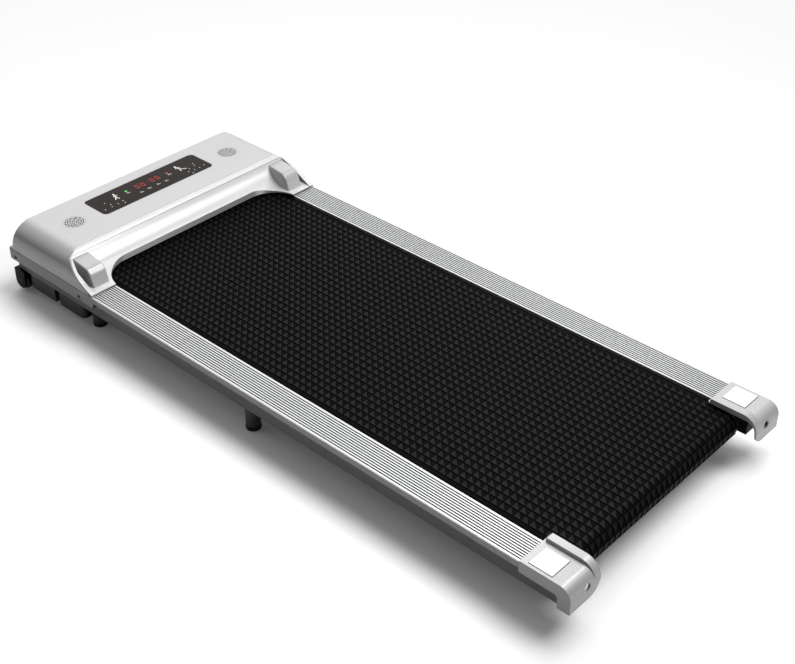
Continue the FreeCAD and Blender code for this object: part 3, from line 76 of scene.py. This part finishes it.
def grain(material, shader, tones, size, roughness, depth,
          stretch=(1, 1, 1), edge=0.0, detail=3.0, draft=0.0):
    """Colour, gloss and relief from one noise: size and depth in metres, stretch along each axis.

    An edge is rounded by this radius in metres, and a draft lays steep faces back by this slope.
    """
    link = material.node_tree.links.new
    place = add_node(material, "ShaderNodeTexCoord").outputs["Object"]
    scale = [1 / (size * along) for along in stretch]
    turned = add_node(material, "ShaderNodeMapping", {"Scale": scale}, {"Vector": place})
    noise = add_node(material, "ShaderNodeTexNoise", {"Scale": 1.0, "Detail": detail},
                     {"Vector": turned.outputs["Vector"]})
    mix = add_node(material, "ShaderNodeMix", {"data_type": "RGBA"})
    link(noise.outputs["Fac"], mix.inputs[0])
    mix.inputs[6].default_value = linear(tones[0])
    mix.inputs[7].default_value = linear(tones[1])
    link(mix.outputs[2], shader.inputs["Base Color"])
    gloss = add_node(material, "ShaderNodeMapRange", {"To Min": roughness[0], "To Max": roughness[1]},
                     {"Value": noise.outputs["Fac"]})
    link(gloss.outputs["Result"], shader.inputs["Roughness"])
    bump = add_node(material, "ShaderNodeBump", {"Strength": 1.0, "Distance": depth},
                    {"Height": noise.outputs["Fac"]})
    base = bump
    if draft:
        rise = add_node(material, "ShaderNodeSeparateXYZ", None, {"Vector": place}).outputs["Z"]
        base = add_node(material, "ShaderNodeBump", {"invert": True, "Strength": 1.0, "Distance": draft},
                        {"Height": rise})
        link(base.outputs["Normal"], bump.inputs["Normal"])
    if edge:
        soft = add_node(material, "ShaderNodeBevel", {"samples": 4, "Radius": edge})
        link(soft.outputs["Normal"], base.inputs["Normal"])
    link(bump.outputs["Normal"], shader.inputs["Normal"])


def tone_within(material, shader, tone, source="Object", **ranges):
    """Turn the colour to this tone where the sizes of X, Y and Z lie within these ranges."""
    link = material.node_tree.links.new
    place = add_node(material, "ShaderNodeTexCoord").outputs[source]
    parts = add_node(material, "ShaderNodeSeparateXYZ", None, {"Vector": place}).outputs
    mix = add_node(material, "ShaderNodeMix", {"data_type": "RGBA"})
    inside = None
    for axis, (low, high) in ranges.items():
        size = add_node(material, "ShaderNodeMath", {"operation": "ABSOLUTE"}, {0: parts[axis]})
        held = add_node(material, "ShaderNodeMath", {"operation": "COMPARE"}, {0: size.outputs["Value"]})
        held.inputs[1].default_value = (low + high) / 2
        held.inputs[2].default_value = (high - low) / 2
        if inside:
            held = add_node(material, "ShaderNodeMath", {"operation": "MULTIPLY"},
                            {0: inside, 1: held.outputs["Value"]})
        inside = held.outputs["Value"]
    link(inside, mix.inputs[0])
    link(shader.inputs["Base Color"].links[0].from_socket, mix.inputs[6])
    mix.inputs[7].default_value = linear(tone)
    link(mix.outputs[2], shader.inputs["Base Color"])


def dress(material, *names):
    """Give CAD nodes a finish."""
    for name in names:
        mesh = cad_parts[name].data
        mesh.materials.clear()
        mesh.materials.append(material)


powder_coat, shader = new_finish("powder_coated_steel", Specular_IOR_Level=0.05)
grain(powder_coat, shader, ("#161718", "#1F2021"), 0.0016, (0.42, 0.58), 0.00006, edge=0.0008)
dress(powder_coat, "front_axle_brackets", "rear_axle_bracket_left", "rear_axle_bracket_right",
      "motor_base_plate", "wheel_forks")
grey_coat, shader = new_finish("grey_powder_coated_steel")
grain(grey_coat, shader, ("#656667", "#707172"), 0.0016, (0.42, 0.58), 0.00006, edge=0.0008)
dress(grey_coat, "side_channel_left", "side_channel_right", "cross_member_rear", "cross_member_middle",
      "cross_member_front")


# Deck: a fibreboard slab that the belt slides over, on rubber cushions screwed to the channels.
# Its faces are waxed phenolic paper, so the dark brown is mottled by short pressed fibres.
fibreboard, shader = new_finish("waxed_fibreboard", Specular_IOR_Level=0.1)
grain(fibreboard, shader, ("#0D0B09", "#17130F"), 0.004, (0.35, 0.55), 0.00005,
      stretch=(3, 1, 1), detail=6.0)
dress(fibreboard, "deck_board")

soft_rubber, shader = new_finish("moulded_soft_rubber", Specular_IOR_Level=0.35)
grain(soft_rubber, shader, ("#121212", "#1C1C1C"), 0.0012, (0.62, 0.78), 0.00005)
dress(soft_rubber, "deck_cushions", "foot_pads")


# Rollers, axles, bearings and deck screws: turned steel with a thin zinc plate.
# Turning leaves fine rings, so the grain is drawn out along the roller's girth.
zinc_plate, shader = new_finish("turned_zinc_plated_steel", Metallic=1.0)
grain(zinc_plate, shader, ("#9FA2A6", "#C3C6C9"), 0.0012, (0.24, 0.4), 0.00002, stretch=(20, 1, 20))
dress(zinc_plate, "front_axle", "front_roller_tube", "front_roller_bearings", "rear_axle",
      "rear_roller_tube", "rear_roller_bearings", "deck_screws", "motor_rotor", "motor_pulley")


# Running belt: an endless rubber-faced belt with a tread of raised corner pads, half a square each.
# The pads' tops are painted greyer as painted light, and the ground between them deeper black as painted
# shade; one edge is slit plain, without pads.
belt_pitch_across = 30
belt_pitch_along = 162
pad_bevel = 0.0006
pad_height = 0.0013
plain_edge = 0.0075
carcass = 0.0012
turn_cuts = 14
seam_gap = 0.00002
belt_low, belt_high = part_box("running_belt")
belt_half = (belt_high.y - belt_low.y) / 2
tube_low, tube_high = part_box("rear_roller_tube")
rear_x = (tube_low.x + tube_high.x) / 2
roller_z = (tube_low.z + tube_high.z) / 2
tube_low, tube_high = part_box("front_roller_tube")
front_x = (tube_low.x + tube_high.x) / 2
run = front_x - rear_x
ground_radius = (belt_high.z - belt_low.z) / 2 - pad_height
belt_length = 2 * run + 2 * math.pi * ground_radius


def select_faces(mesh, wanted):
    """Select the faces for which wanted(face) is true, and nothing else."""
    bpy.ops.object.mode_set(mode="OBJECT")
    for part in (mesh.vertices, mesh.edges):
        part.foreach_set("select", [False] * len(part))
    for face in mesh.polygons:
        face.select = wanted(face)
    bpy.ops.object.mode_set(mode="EDIT")
    bpy.ops.mesh.select_mode(type="FACE")


bpy.ops.object.select_all(action="DESELECT")
bpy.ops.mesh.primitive_grid_add(x_subdivisions=belt_pitch_along,
                                y_subdivisions=belt_pitch_across + 1, size=1)
belt = bpy.context.object
belt.name = "tread_belt"
belt.scale = (belt_length, 2 * belt_half, 1)
belt.location = (belt_length / 2, 0, 0)
bpy.ops.object.transform_apply(location=True, rotation=True, scale=True)
cell_x = belt_length / belt_pitch_along
cell_y = (2 * belt_half - plain_edge) / belt_pitch_across
for point in belt.data.vertices:
    column = round((point.co.y + belt_half) / (2 * belt_half) * (belt_pitch_across + 1))
    point.co.y = -belt_half + column * cell_y if column <= belt_pitch_across else belt_half
wall = belt.modifiers.new("carcass", "SOLIDIFY")
wall.thickness = carcass
wall.offset = -1
bpy.ops.object.modifier_apply(modifier="carcass")
select_faces(belt.data, lambda face: abs(face.normal.x) > 0.5)
bpy.ops.mesh.delete(type="FACE")
select_faces(belt.data, lambda face: face.normal.z > 0.5)
bpy.ops.mesh.quads_convert_to_tris(quad_method="FIXED_ALTERNATE")


def in_pad_half(face):
    """True for the half of a square of the tread that carries a pad."""
    across = (face.center.y + belt_half) / cell_y
    along = face.center.x / cell_x % 1
    return face.normal.z > 0.5 and across < belt_pitch_across and across % 1 + along > 1


select_faces(belt.data, in_pad_half)
bpy.ops.mesh.inset(thickness=pad_bevel, depth=pad_height, use_individual=True, use_even_offset=True)
bpy.ops.object.mode_set(mode="OBJECT")
for start in (run, 2 * run + math.pi * ground_radius):
    for index in range(turn_cuts + 1):
        cut_x = start + math.pi * ground_radius * index / turn_cuts
        bpy.ops.object.mode_set(mode="EDIT")
        bpy.ops.mesh.select_all(action="SELECT")
        bpy.ops.mesh.bisect(plane_co=(cut_x, 0, 0), plane_no=(1, 0, 0))
bpy.ops.object.mode_set(mode="OBJECT")

# Pad tops take the second, greyer finish as painted light; the rest keeps the darker ground as painted
# shade.
for face in belt.data.polygons:
    face.material_index = 1 if face.center.z > pad_height * 0.9 else 0
half_turn = math.pi * ground_radius
for point in belt.data.vertices:
    along, across, height = point.co
    reach = ground_radius + height
    if along < run:
        point.co = (rear_x + along, across, roller_z + reach)
    elif along < run + half_turn:
        angle = (along - run) / ground_radius
        point.co = (front_x + reach * math.sin(angle), across, roller_z + reach * math.cos(angle))
    elif along < 2 * run + half_turn:
        point.co = (front_x - (along - run - half_turn), across, roller_z - reach)
    else:
        angle = (along - 2 * run - half_turn) / ground_radius
        point.co = (rear_x - reach * math.sin(angle), across, roller_z - reach * math.cos(angle))
bpy.ops.object.mode_set(mode="EDIT")
bpy.ops.mesh.select_all(action="SELECT")
bpy.ops.mesh.remove_doubles(threshold=seam_gap)
bpy.ops.object.mode_set(mode="OBJECT")

# The ground's deep black is painted shade, and the pads' greyer tops are painted light.
tread_ground, shader = new_finish("tread_rubber_ground", Specular_IOR_Level=0.02)
grain(tread_ground, shader, ("#060606", "#0B0B0B"), 0.0012, (0.55, 0.75), 0.00004)
tread_top, shader = new_finish("tread_rubber_painted_light_tops", Specular_IOR_Level=0.06)
grain(tread_top, shader, ("#121212", "#181818"), 0.0012, (0.42, 0.62), 0.00004)
belt.data.materials.append(tread_ground)
belt.data.materials.append(tread_top)
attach(belt, "chassis")
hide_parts("running_belt")


# Feet, wheels and other black mouldings: glass-filled nylon and ABS with a spark-eroded grain.
# The grain is a fine matt leather that keeps highlights broad.
black_moulding, shader = new_finish("spark_grained_black_plastic", Specular_IOR_Level=0.45)
grain(black_moulding, shader, ("#141415", "#1D1D1E"), 0.0009, (0.45, 0.6), 0.00006, edge=0.0006)
dress(black_moulding, "transport_wheel_left", "transport_wheel_right", "motor_tray",
      "front_roller_pulley", "motor_cradle", "motor_fan", "speakers", "power_inlet",
      "power_switch_body", "breaker_body", "reset_button")
grey_moulding, shader = new_finish("spark_grained_grey_plastic", Specular_IOR_Level=0.45)
grain(grey_moulding, shader, ("#343435", "#3E3E3F"), 0.0009, (0.45, 0.6), 0.00006, edge=0.0006)
dress(grey_moulding, "foot_posts")


# Side rails: aluminium extrusions with a grooved tread, anodised silver.
# The die leaves faint lines along the length, under a satin oxide film.
# The grooves are painted near black as painted shade, and the outer skirt under the tread is painted
# darker grey as painted shade.
groove_margin = 0.0025
groove_floor = 0.0026
groove_lip = 0.0006
skirt_skin = 0.002
skirt_room = 0.001
skirt_drop = 0.0022
anodised, shader = new_finish("anodised_aluminium", Metallic=0.85)
grain(anodised, shader, ("#BBBCBD", "#CDCECF"), 0.0007, (0.4, 0.52), 0.00001,
      stretch=(400, 1, 1), edge=0.0004)
rail_low, rail_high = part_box("side_rail_left")
# Painted shade: the walls and floors of the grooves turn near black.
tone_within(anodised, shader, "#0E0E0E",
            Y=(rail_low.y + groove_margin, rail_high.y - groove_margin),
            Z=(rail_high.z - groove_floor, rail_high.z - groove_lip))
# Painted shade: the rail's outer side face below the tread turns darker grey.
tone_within(anodised, shader, "#787878",
            Y=(rail_high.y - skirt_skin, rail_high.y + skirt_room),
            Z=(0, rail_high.z - skirt_drop))
dress(anodised, "side_rail_left", "side_rail_right")


# End caps, hood cover and corner lugs: injection-moulded ABS sprayed silver.
# Fine aluminium flake in the paint gives a soft sheen and a faint sparkle.
silver_paint, shader = new_finish("silver_sprayed_plastic", Metallic=0.1, Coat_Weight=0.2,
                                  Coat_Roughness=0.1)
grain(silver_paint, shader, ("#B0B0B0", "#B6B6B6"), 0.0008, (0.24, 0.3), 0.00001, edge=0.0012)
dress(silver_paint, "end_cap_left", "end_cap_right", "hood_cover", "corner_lug_left",
      "corner_lug_right")


# Blank plates on the end caps: white vinyl with a printed dark border, stuck on the flat top; the border
# is wider on two sides as a painted drop shadow.
# They carry no words.
plate_length = 0.040
plate_border = 0.0008
plate_thick = 0.0003
plate_corner = 0.0010
plate_lead = 0.0105
plate_middle = 0.2375
cap_flat_top = 0.0884
vinyl, shader = new_finish("white_vinyl", Coat_Weight=0.2)
grain(vinyl, shader, ("#E2E1DD", "#E8E7E4"), 0.003, (0.35, 0.45), 0.000005)
plate_ink_and_shadow, shader = new_finish("black_border_ink_and_shadow")
grain(plate_ink_and_shadow, shader, ("#121212", "#1E1E1E"), 0.001, (0.4, 0.5), 0.000005)
for side, name in ((1, "left"), (-1, "right")):
    middle_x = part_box("end_cap_" + name)[1].x - plate_lead - plate_length / 2
    bpy.ops.object.select_all(action="DESELECT")
    bpy.ops.mesh.primitive_plane_add(size=plate_length,
                                     location=(middle_x, side * plate_middle, cap_flat_top))
    plate = bpy.context.object
    plate.name = "cap_plate_" + name
    bpy.ops.object.transform_apply(location=True, rotation=True, scale=True)
    bpy.ops.object.mode_set(mode="EDIT")
    bpy.ops.mesh.select_all(action="SELECT")
    bpy.ops.mesh.extrude_region_move(TRANSFORM_OT_translate={"value": (0, 0, plate_thick)})
    bpy.ops.object.mode_set(mode="OBJECT")
    for edge in plate.data.edges:
        ends = [plate.data.vertices[i].co for i in edge.vertices]
        edge.select = abs(ends[0].z - ends[1].z) > plate_thick / 2
    bpy.ops.object.mode_set(mode="EDIT")
    bpy.ops.mesh.select_mode(type="EDGE")
    bpy.ops.mesh.bevel(offset=plate_corner, segments=5, affect="EDGES")
    select_faces(plate.data, lambda face: face.normal.z > 0.5)
    bpy.ops.mesh.inset(thickness=plate_border)
    # The white is shifted off centre, so the wider dark border on two sides is a painted drop shadow.
    bpy.ops.transform.translate(value=(plate_border / 2, -plate_border / 2, 0))
    bpy.ops.object.mode_set(mode="OBJECT")
    plate.data.materials.append(plate_ink_and_shadow)
    plate.data.materials.append(vinyl)
    for face in plate.data.polygons:
        face.material_index = 1 if face.select else 0
    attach(plate, "chassis")


# Shade pads: a block of black rubber pressed into the outer end of each cap's tail hook, a dark block
# standing in for the shade inside the hook.
# The pad stands clear of the key's way to the tension bolt.
shade_pad_gap = 0.0001
shade_pad_deep = 0.013
shade_pad_rise = 0.019
shade_pad_lift = 0.001
shade_pad_corner = 0.0015
cap_wall = 0.003
cap_side_wall = 0.002
for side, name in ((1, "left"), (-1, "right")):
    cap_low, cap_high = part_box("end_cap_" + name)
    bolt_low, bolt_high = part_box("tension_bolt_" + name)
    outer = max(abs(cap_low.y), abs(cap_high.y)) - cap_side_wall - shade_pad_gap
    inner = max(abs(bolt_low.y), abs(bolt_high.y)) - shade_pad_corner
    shade_pad_x = cap_low.x + cap_wall + shade_pad_gap + shade_pad_deep / 2
    shade_pad_z = cap_low.z + shade_pad_lift + shade_pad_rise / 2
    bpy.ops.object.select_all(action="DESELECT")
    bpy.ops.mesh.primitive_cube_add(size=1, scale=(shade_pad_deep, outer - inner, shade_pad_rise),
                                    location=(shade_pad_x, side * (outer + inner) / 2, shade_pad_z))
    shade_pad = bpy.context.object
    shade_pad.name = "cap_shade_pad_" + name
    bpy.ops.object.transform_apply(location=True, rotation=True, scale=True)
    bpy.ops.object.mode_set(mode="EDIT")
    bpy.ops.mesh.select_all(action="SELECT")
    bpy.ops.mesh.bevel(offset=shade_pad_corner, segments=3, affect="EDGES")
    bpy.ops.object.mode_set(mode="OBJECT")
    bpy.ops.object.shade_smooth_by_angle(angle=math.radians(40))
    shade_pad.data.materials.append(soft_rubber)
    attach(shade_pad, "chassis")


# Hood fascia: the glossier swept moulding with the cut-out over the belt.
# It has the same silver, polished to a brighter gloss; its upright faces are painted darker grey as
# painted shade.
upright = 0.12
gloss_silver, shader = new_finish("gloss_silver_plastic", Metallic=0.12, Coat_Weight=0.3,
                                  Coat_Roughness=0.06)
grain(gloss_silver, shader, ("#D3D3D3", "#D9D9D9"), 0.0008, (0.24, 0.3), 0.000008,
      edge=0.0012, draft=0.6)
# Painted shade: faces whose normal lies near level, the upright lip and cheek sides, turn dark grey.
tone_within(gloss_silver, shader, "#747474", source="Normal", Z=(0, upright))
dress(gloss_silver, "hood_fascia")


# Hood rim: mid grey ABS mouldings, screwed to the channels with sunk black screws.
# Black oxide keeps the screws, the wheel axles and the tension bolts dark and nearly matt.
rim_grey, shader = new_finish("satin_grey_plastic")
grain(rim_grey, shader, ("#A8A8A8", "#B2B2B2"), 0.001, (0.42, 0.52), 0.00003, edge=0.0008)
dress(rim_grey, "rim_side_left", "rim_side_right", "rim_front")
black_oxide, shader = new_finish("black_oxide_steel", Metallic=0.3, Specular_IOR_Level=0.2)
grain(black_oxide, shader, ("#060606", "#0D0D0E"), 0.0008, (0.4, 0.5), 0.00002)
dress(black_oxide, "rim_screws", "wheel_axles", "tension_bolt_left", "tension_bolt_right")


# Display: a tinted acrylic window over red digits, with lamps and printed signs.
# The tint is a brown-black; digits and lamps glow through it, and the signs are printed white.
acrylic, shader = new_finish("tinted_acrylic", Specular_IOR_Level=0.04)
grain(acrylic, shader, ("#1C1513", "#221A18"), 0.02, (0.16, 0.2), 0.000002)
dress(acrylic, "display_window")
window_low, window_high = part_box("display_window")
sign_z = window_high.z
sign_thick = 0.0001
dot_sides = 16
digit_tall = 0.0122
digit_wide = 0.0066
stroke = 0.001


def clear_marks():
    """Deselect everything and start an empty list of strokes."""
    bpy.ops.object.select_all(action="DESELECT")
    return []


def bar(marks, x, y, along, across, turn=0.0):
    """A flat printed stroke centred at x, y, turned about the vertical."""
    bpy.ops.mesh.primitive_cube_add(size=1, location=(x, y, sign_z), rotation=(0, 0, turn),
                                    scale=(along, across, sign_thick))
    marks.append(bpy.context.object)


def dot(marks, x, y, radius):
    """A flat printed dot centred at x, y."""
    bpy.ops.mesh.primitive_cylinder_add(vertices=dot_sides, radius=radius, depth=sign_thick,
                                        location=(x, y, sign_z))
    marks.append(bpy.context.object)


def limb(marks, start, end, width):
    """A stroke from start to end, both (x, y)."""
    run_x = end[0] - start[0]
    run_y = end[1] - start[1]
    bar(marks, (start[0] + end[0]) / 2, (start[1] + end[1]) / 2,
        math.hypot(run_x, run_y) + width / 2, width, math.atan2(run_y, run_x))


def join_marks(marks, name, material, soften):
    """Join strokes into one print, round their corners and stick it on the window."""
    bpy.ops.object.select_all(action="DESELECT")
    for mark in marks:
        mark.select_set(True)
    bpy.context.view_layer.objects.active = marks[0]
    if len(marks) > 1:
        bpy.ops.object.join()
    piece = bpy.context.object
    piece.name = name
    bpy.ops.object.transform_apply(location=True, rotation=True, scale=True)
    for edge in piece.data.edges:
        ends = [piece.data.vertices[i].co for i in edge.vertices]
        edge.select = abs(ends[0].z - ends[1].z) > sign_thick / 2 and soften > 0
    bpy.ops.object.mode_set(mode="EDIT")
    bpy.ops.mesh.select_mode(type="EDGE")
    if soften > 0:
        bpy.ops.mesh.bevel(offset=soften, segments=2, affect="EDGES")
    bpy.ops.object.mode_set(mode="OBJECT")
    piece.data.materials.append(material)
    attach(piece, "chassis")
    return piece


red_glow, shader = new_finish("red_lit_segments", Emission_Color=linear("#FF3A22"),
                              Emission_Strength=0.4)
grain(red_glow, shader, ("#8E1E14", "#A3261A"), 0.002, (0.25, 0.35), 0.000002)
green_glow, shader = new_finish("green_lamp", Emission_Color=linear("#3CFF5A"),
                                Emission_Strength=0.3)
grain(green_glow, shader, ("#1FA338", "#2CBF48"), 0.002, (0.25, 0.35), 0.000002)
white_ink, shader = new_finish("white_screen_ink")
grain(white_ink, shader, ("#E6E3E0", "#F2F0EE"), 0.002, (0.3, 0.4), 0.000002)

digit_x = 0.545
marks = clear_marks()
for digit_y in (0.0225, 0.0105, -0.0110, -0.0235):
    for upper in (1, -1):
        for side in (1, -1):
            bar(marks, digit_x + upper * digit_tall / 4, digit_y + side * (digit_wide - stroke) / 2,
                digit_tall / 2 - stroke, stroke)
        bar(marks, digit_x + upper * (digit_tall - stroke) / 2, digit_y,
            stroke, digit_wide - 2 * stroke)
for upper in (1, -1):
    bar(marks, digit_x + upper * digit_tall / 5, 0.0, stroke, stroke)
join_marks(marks, "display_digits", red_glow, stroke / 4)

marks = clear_marks()
dot(marks, 0.5465, 0.0475, 0.0026)
join_marks(marks, "display_lamp_green", green_glow, 0)
marks = clear_marks()
dot(marks, 0.5455, -0.0465, 0.0022)
join_marks(marks, "display_lamp_red", red_glow, 0)

sign_places = ((0.539, 0.047), (0.538, -0.048), (0.5232, 0.0285), (0.5245, 0.0100),
               (0.5245, -0.0110), (0.5235, -0.0290))
sign_strokes = ((0.0004, 0.0026, 0.0040, 0.0013), (0.0, 0.0002, 0.0032, 0.0013),
                (-0.0009, -0.0022, 0.0018, 0.0015))
dot_radius = 0.0011
dot_places = ((0.539, 0.101), (0.528, 0.096), (0.5195, 0.099), (0.5195, 0.114), (0.5206, 0.085),
              (0.5229, 0.0724), (0.515, 0.0735), (0.5386, -0.1036), (0.5306, -0.1012),
              (0.5195, -0.1150), (0.5173, -0.1026), (0.5175, -0.0908), (0.5275, -0.0867),
              (0.5195, -0.0781), (0.5101, -0.0811))
head_radius = 0.0021
walker_head = (0.5534, 0.0706)
walker_limbs = (((0.5505, 0.0711), (0.5429, 0.0731), 0.0034),
                ((0.5429, 0.0731), (0.5356, 0.0787), 0.0022),
                ((0.5429, 0.0731), (0.5343, 0.0713), 0.0022),
                ((0.5490, 0.0715), (0.5461, 0.0678), 0.0018),
                ((0.5490, 0.0715), (0.5455, 0.0760), 0.0018))
runner_head = (0.5528, -0.0719)
runner_limbs = (((0.5500, -0.0721), (0.5415, -0.0735), 0.0034),
                ((0.5415, -0.0735), (0.5325, -0.0709), 0.0022),
                ((0.5415, -0.0735), (0.5358, -0.0788), 0.0022),
                ((0.5358, -0.0788), (0.5331, -0.0835), 0.0020),
                ((0.5485, -0.0725), (0.5450, -0.0775), 0.0018),
                ((0.5485, -0.0721), (0.5455, -0.0680), 0.0018))
marks = clear_marks()
for x, y in sign_places:
    for ahead, aside, along, across in sign_strokes:
        bar(marks, x + ahead, y + aside, along, across)
for x, y in dot_places:
    dot(marks, x, y, dot_radius)
for head, limbs in ((walker_head, walker_limbs), (runner_head, runner_limbs)):
    dot(marks, *head, head_radius)
    for limb_start, limb_end, limb_width in limbs:
        limb(marks, limb_start, limb_end, limb_width)
join_marks(marks, "display_signs", white_ink, 0.0003)


# Boards and speaker grilles: glass-fibre boards under a green mask, and black ring mouldings.
# Only the grilles' faces are sprayed silver, so the slots stay black.
laminate, shader = new_finish("green_board_laminate")
grain(laminate, shader, ("#0F4A26", "#176034"), 0.003, (0.3, 0.45), 0.00002)
dress(laminate, "display_board", "controller_board")
grille_skin = 0.0003
grille_face, shader = new_finish("silver_faced_black_plastic", Metallic=0.1)
grain(grille_face, shader, ("#B0B0B0", "#B6B6B6"), 0.0008, (0.3, 0.38), 0.00001)
tone_within(grille_face, shader, "#050505", Z=(0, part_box("speaker_grilles")[1].z - grille_skin))
dress(grille_face, "speaker_grilles")


# Motor and its drive, bolted down under the hood: an enamelled can between die-cast ends.
# The castings and the finned sink are left bare and grainy; the ribbed belt is matt rubber.
motor_enamel, shader = new_finish("satin_black_enamel")
grain(motor_enamel, shader, ("#1A1A1C", "#242426"), 0.002, (0.32, 0.42), 0.00003)
dress(motor_enamel, "motor_can")
cast_alloy, shader = new_finish("die_cast_alloy", Metallic=1.0)
grain(cast_alloy, shader, ("#9A9B9D", "#B2B3B5"), 0.0014, (0.42, 0.58), 0.00006)
dress(cast_alloy, "motor_end_bells", "heat_sink")
ribbed_rubber, shader = new_finish("ribbed_drive_rubber")
grain(ribbed_rubber, shader, ("#101010", "#191919"), 0.001, (0.55, 0.7), 0.00004)
dress(ribbed_rubber, "drive_belt")


# Power rocker: a red gloss moulding that tips in its black body.
# The moulded red is clear and shiny, with soft edges.
rocker_red, shader = new_finish("red_gloss_plastic", Coat_Weight=0.3)
grain(rocker_red, shader, ("#A8181A", "#BC2022"), 0.0015, (0.2, 0.3), 0.00001, edge=0.0004)
dress(rocker_red, "power_rocker")


# Studio: a white floor, a lamp, soft boxes over the deck, broad light from the far side and a camera.
# The floor sends little light back up; it is lifted to white where it is seen or mirrored.
floor_span = 80.0
floor_cells = 8
floor_lift = 0.06
bpy.ops.object.select_all(action="DESELECT")
bpy.ops.mesh.primitive_grid_add(x_subdivisions=floor_cells, y_subdivisions=floor_cells,
                                size=floor_span, location=(0, 0, 0))
floor = bpy.context.object
floor.name = "studio_floor"
paper, shader = new_finish("white_paper_floor", Roughness=0.9, Specular_IOR_Level=0.1)
ray = add_node(paper, "ShaderNodeLightPath")
tint = add_node(paper, "ShaderNodeMix", {"data_type": "RGBA"})
paper.node_tree.links.new(ray.outputs["Is Diffuse Ray"], tint.inputs[0])
tint.inputs[6].default_value = linear("#FDFDFD")
tint.inputs[7].default_value = linear("#8C8C8C")
paper.node_tree.links.new(tint.outputs[2], shader.inputs["Base Color"])
mirrored = add_node(paper, "ShaderNodeMath", {"operation": "MAXIMUM"},
                    {0: ray.outputs["Is Glossy Ray"], 1: ray.outputs["Is Transmission Ray"]})
seen = add_node(paper, "ShaderNodeMath", {"operation": "MAXIMUM"},
                {0: ray.outputs["Is Camera Ray"], 1: mirrored.outputs["Value"]})
glow = add_node(paper, "ShaderNodeMath", {"operation": "MULTIPLY"}, {0: seen.outputs["Value"]})
glow.inputs[1].default_value = floor_lift
shader.inputs["Emission Color"].default_value = (1, 1, 1, 1)
paper.node_tree.links.new(glow.outputs["Value"], shader.inputs["Emission Strength"])
floor.data.materials.append(paper)

air_level = 0.035
panel_core = 10
panels = (((0.55, -0.60, 0.58), 1.50, 45), ((-0.66, -0.60, 0.42), 0.25, 45),
          ((0.80, 0.00, 0.60), 0.78, 50))
world = bpy.data.worlds.new("studio_air")
world.use_nodes = True
bpy.context.scene.world = world
background = world.node_tree.nodes["Background"]
background.inputs["Color"].default_value = (1, 1, 1, 1)
heading = add_node(world, "ShaderNodeTexCoord").outputs["Generated"]
sky = add_node(world, "ShaderNodeValue")
sky.outputs[0].default_value = air_level
sky = sky.outputs[0]
for toward, level, reach in panels:
    near = add_node(world, "ShaderNodeVectorMath", {"operation": "DOT_PRODUCT"}, {0: heading})
    near.inputs[1].default_value = Vector(toward).normalized()
    panel = add_node(world, "ShaderNodeMapRange",
                     {"interpolation_type": "SMOOTHSTEP", "From Min": math.cos(math.radians(reach)),
                      "From Max": math.cos(math.radians(panel_core)), "To Max": level},
                     {"Value": near.outputs["Value"]}).outputs["Result"]
    total = add_node(world, "ShaderNodeMath", {"operation": "ADD"}, {0: sky, 1: panel})
    sky = total.outputs["Value"]
world.node_tree.links.new(sky, background.inputs["Strength"])


def lamp(name, toward, level, spread):
    """A distant soft lamp in this direction; level 1 shows a colour as it is written."""
    data = bpy.data.lights.new(name, "SUN")
    data.energy = level * math.pi
    data.angle = math.radians(spread)
    source = bpy.data.objects.new(name, data)
    bpy.context.scene.collection.objects.link(source)
    source.rotation_euler = Vector(toward).to_track_quat("Z", "Y").to_euler()


def soft_box(name, place, aim, level, wide, deep):
    """A lit panel at this place, turned to its aim; level 1 there shows a colour as it is written."""
    data = bpy.data.lights.new(name, "AREA")
    data.shape = "RECTANGLE"
    data.size = wide
    data.size_y = deep
    away = Vector(place) - Vector(aim)
    data.energy = level * math.pi ** 2 * away.length_squared
    source = bpy.data.objects.new(name, data)
    bpy.context.scene.collection.objects.link(source)
    source.location = place
    source.rotation_euler = away.to_track_quat("Z", "Y").to_euler()
    source.visible_camera = False


lamp("key_lamp", (-0.30, -0.35, 0.89), 0.46, 30)
soft_box("tail_box", (-0.50, -0.20, 0.90), (0.42, 0.0, 0.10), 0.34, 0.5, 0.5)
soft_box("ramp_box", (-0.25, -0.25, 0.55), (0.42, 0.0, 0.10), 0.15, 0.35, 0.35)
soft_box("deck_box", (0.0, -0.15, 1.0), (0.0, -0.05, 0.08), 0.14, 0.7, 0.5)

camera_data = bpy.data.cameras.new("photo_camera")
camera_data.sensor_fit = "HORIZONTAL"
camera_data.sensor_width = 36.0
camera_data.lens = 61.57
camera_data.clip_end = 200.0
camera = bpy.data.objects.new("photo_camera", camera_data)
bpy.context.scene.collection.objects.link(camera)
bpy.context.scene.camera = camera
elevation = math.radians(35.268)
azimuth = math.radians(222.303)
roll = 0.005159
aim = Vector((-0.0652, -0.0142, 0.085))
distance = 2.1964
back = Vector((math.sin(azimuth) * math.cos(elevation),
               -math.cos(azimuth) * math.cos(elevation), math.sin(elevation)))
flat_right = Vector((math.cos(azimuth), math.sin(azimuth), 0))
flat_up = back.cross(flat_right)
right = flat_right * math.cos(roll) + flat_up * math.sin(roll)
up = flat_up * math.cos(roll) - flat_right * math.sin(roll)
turn = Matrix((right, up, back)).transposed().to_4x4()
camera.matrix_world = Matrix.Translation(aim + back * distance) @ turn

view = bpy.context.scene.view_settings
view.view_transform = "Standard"
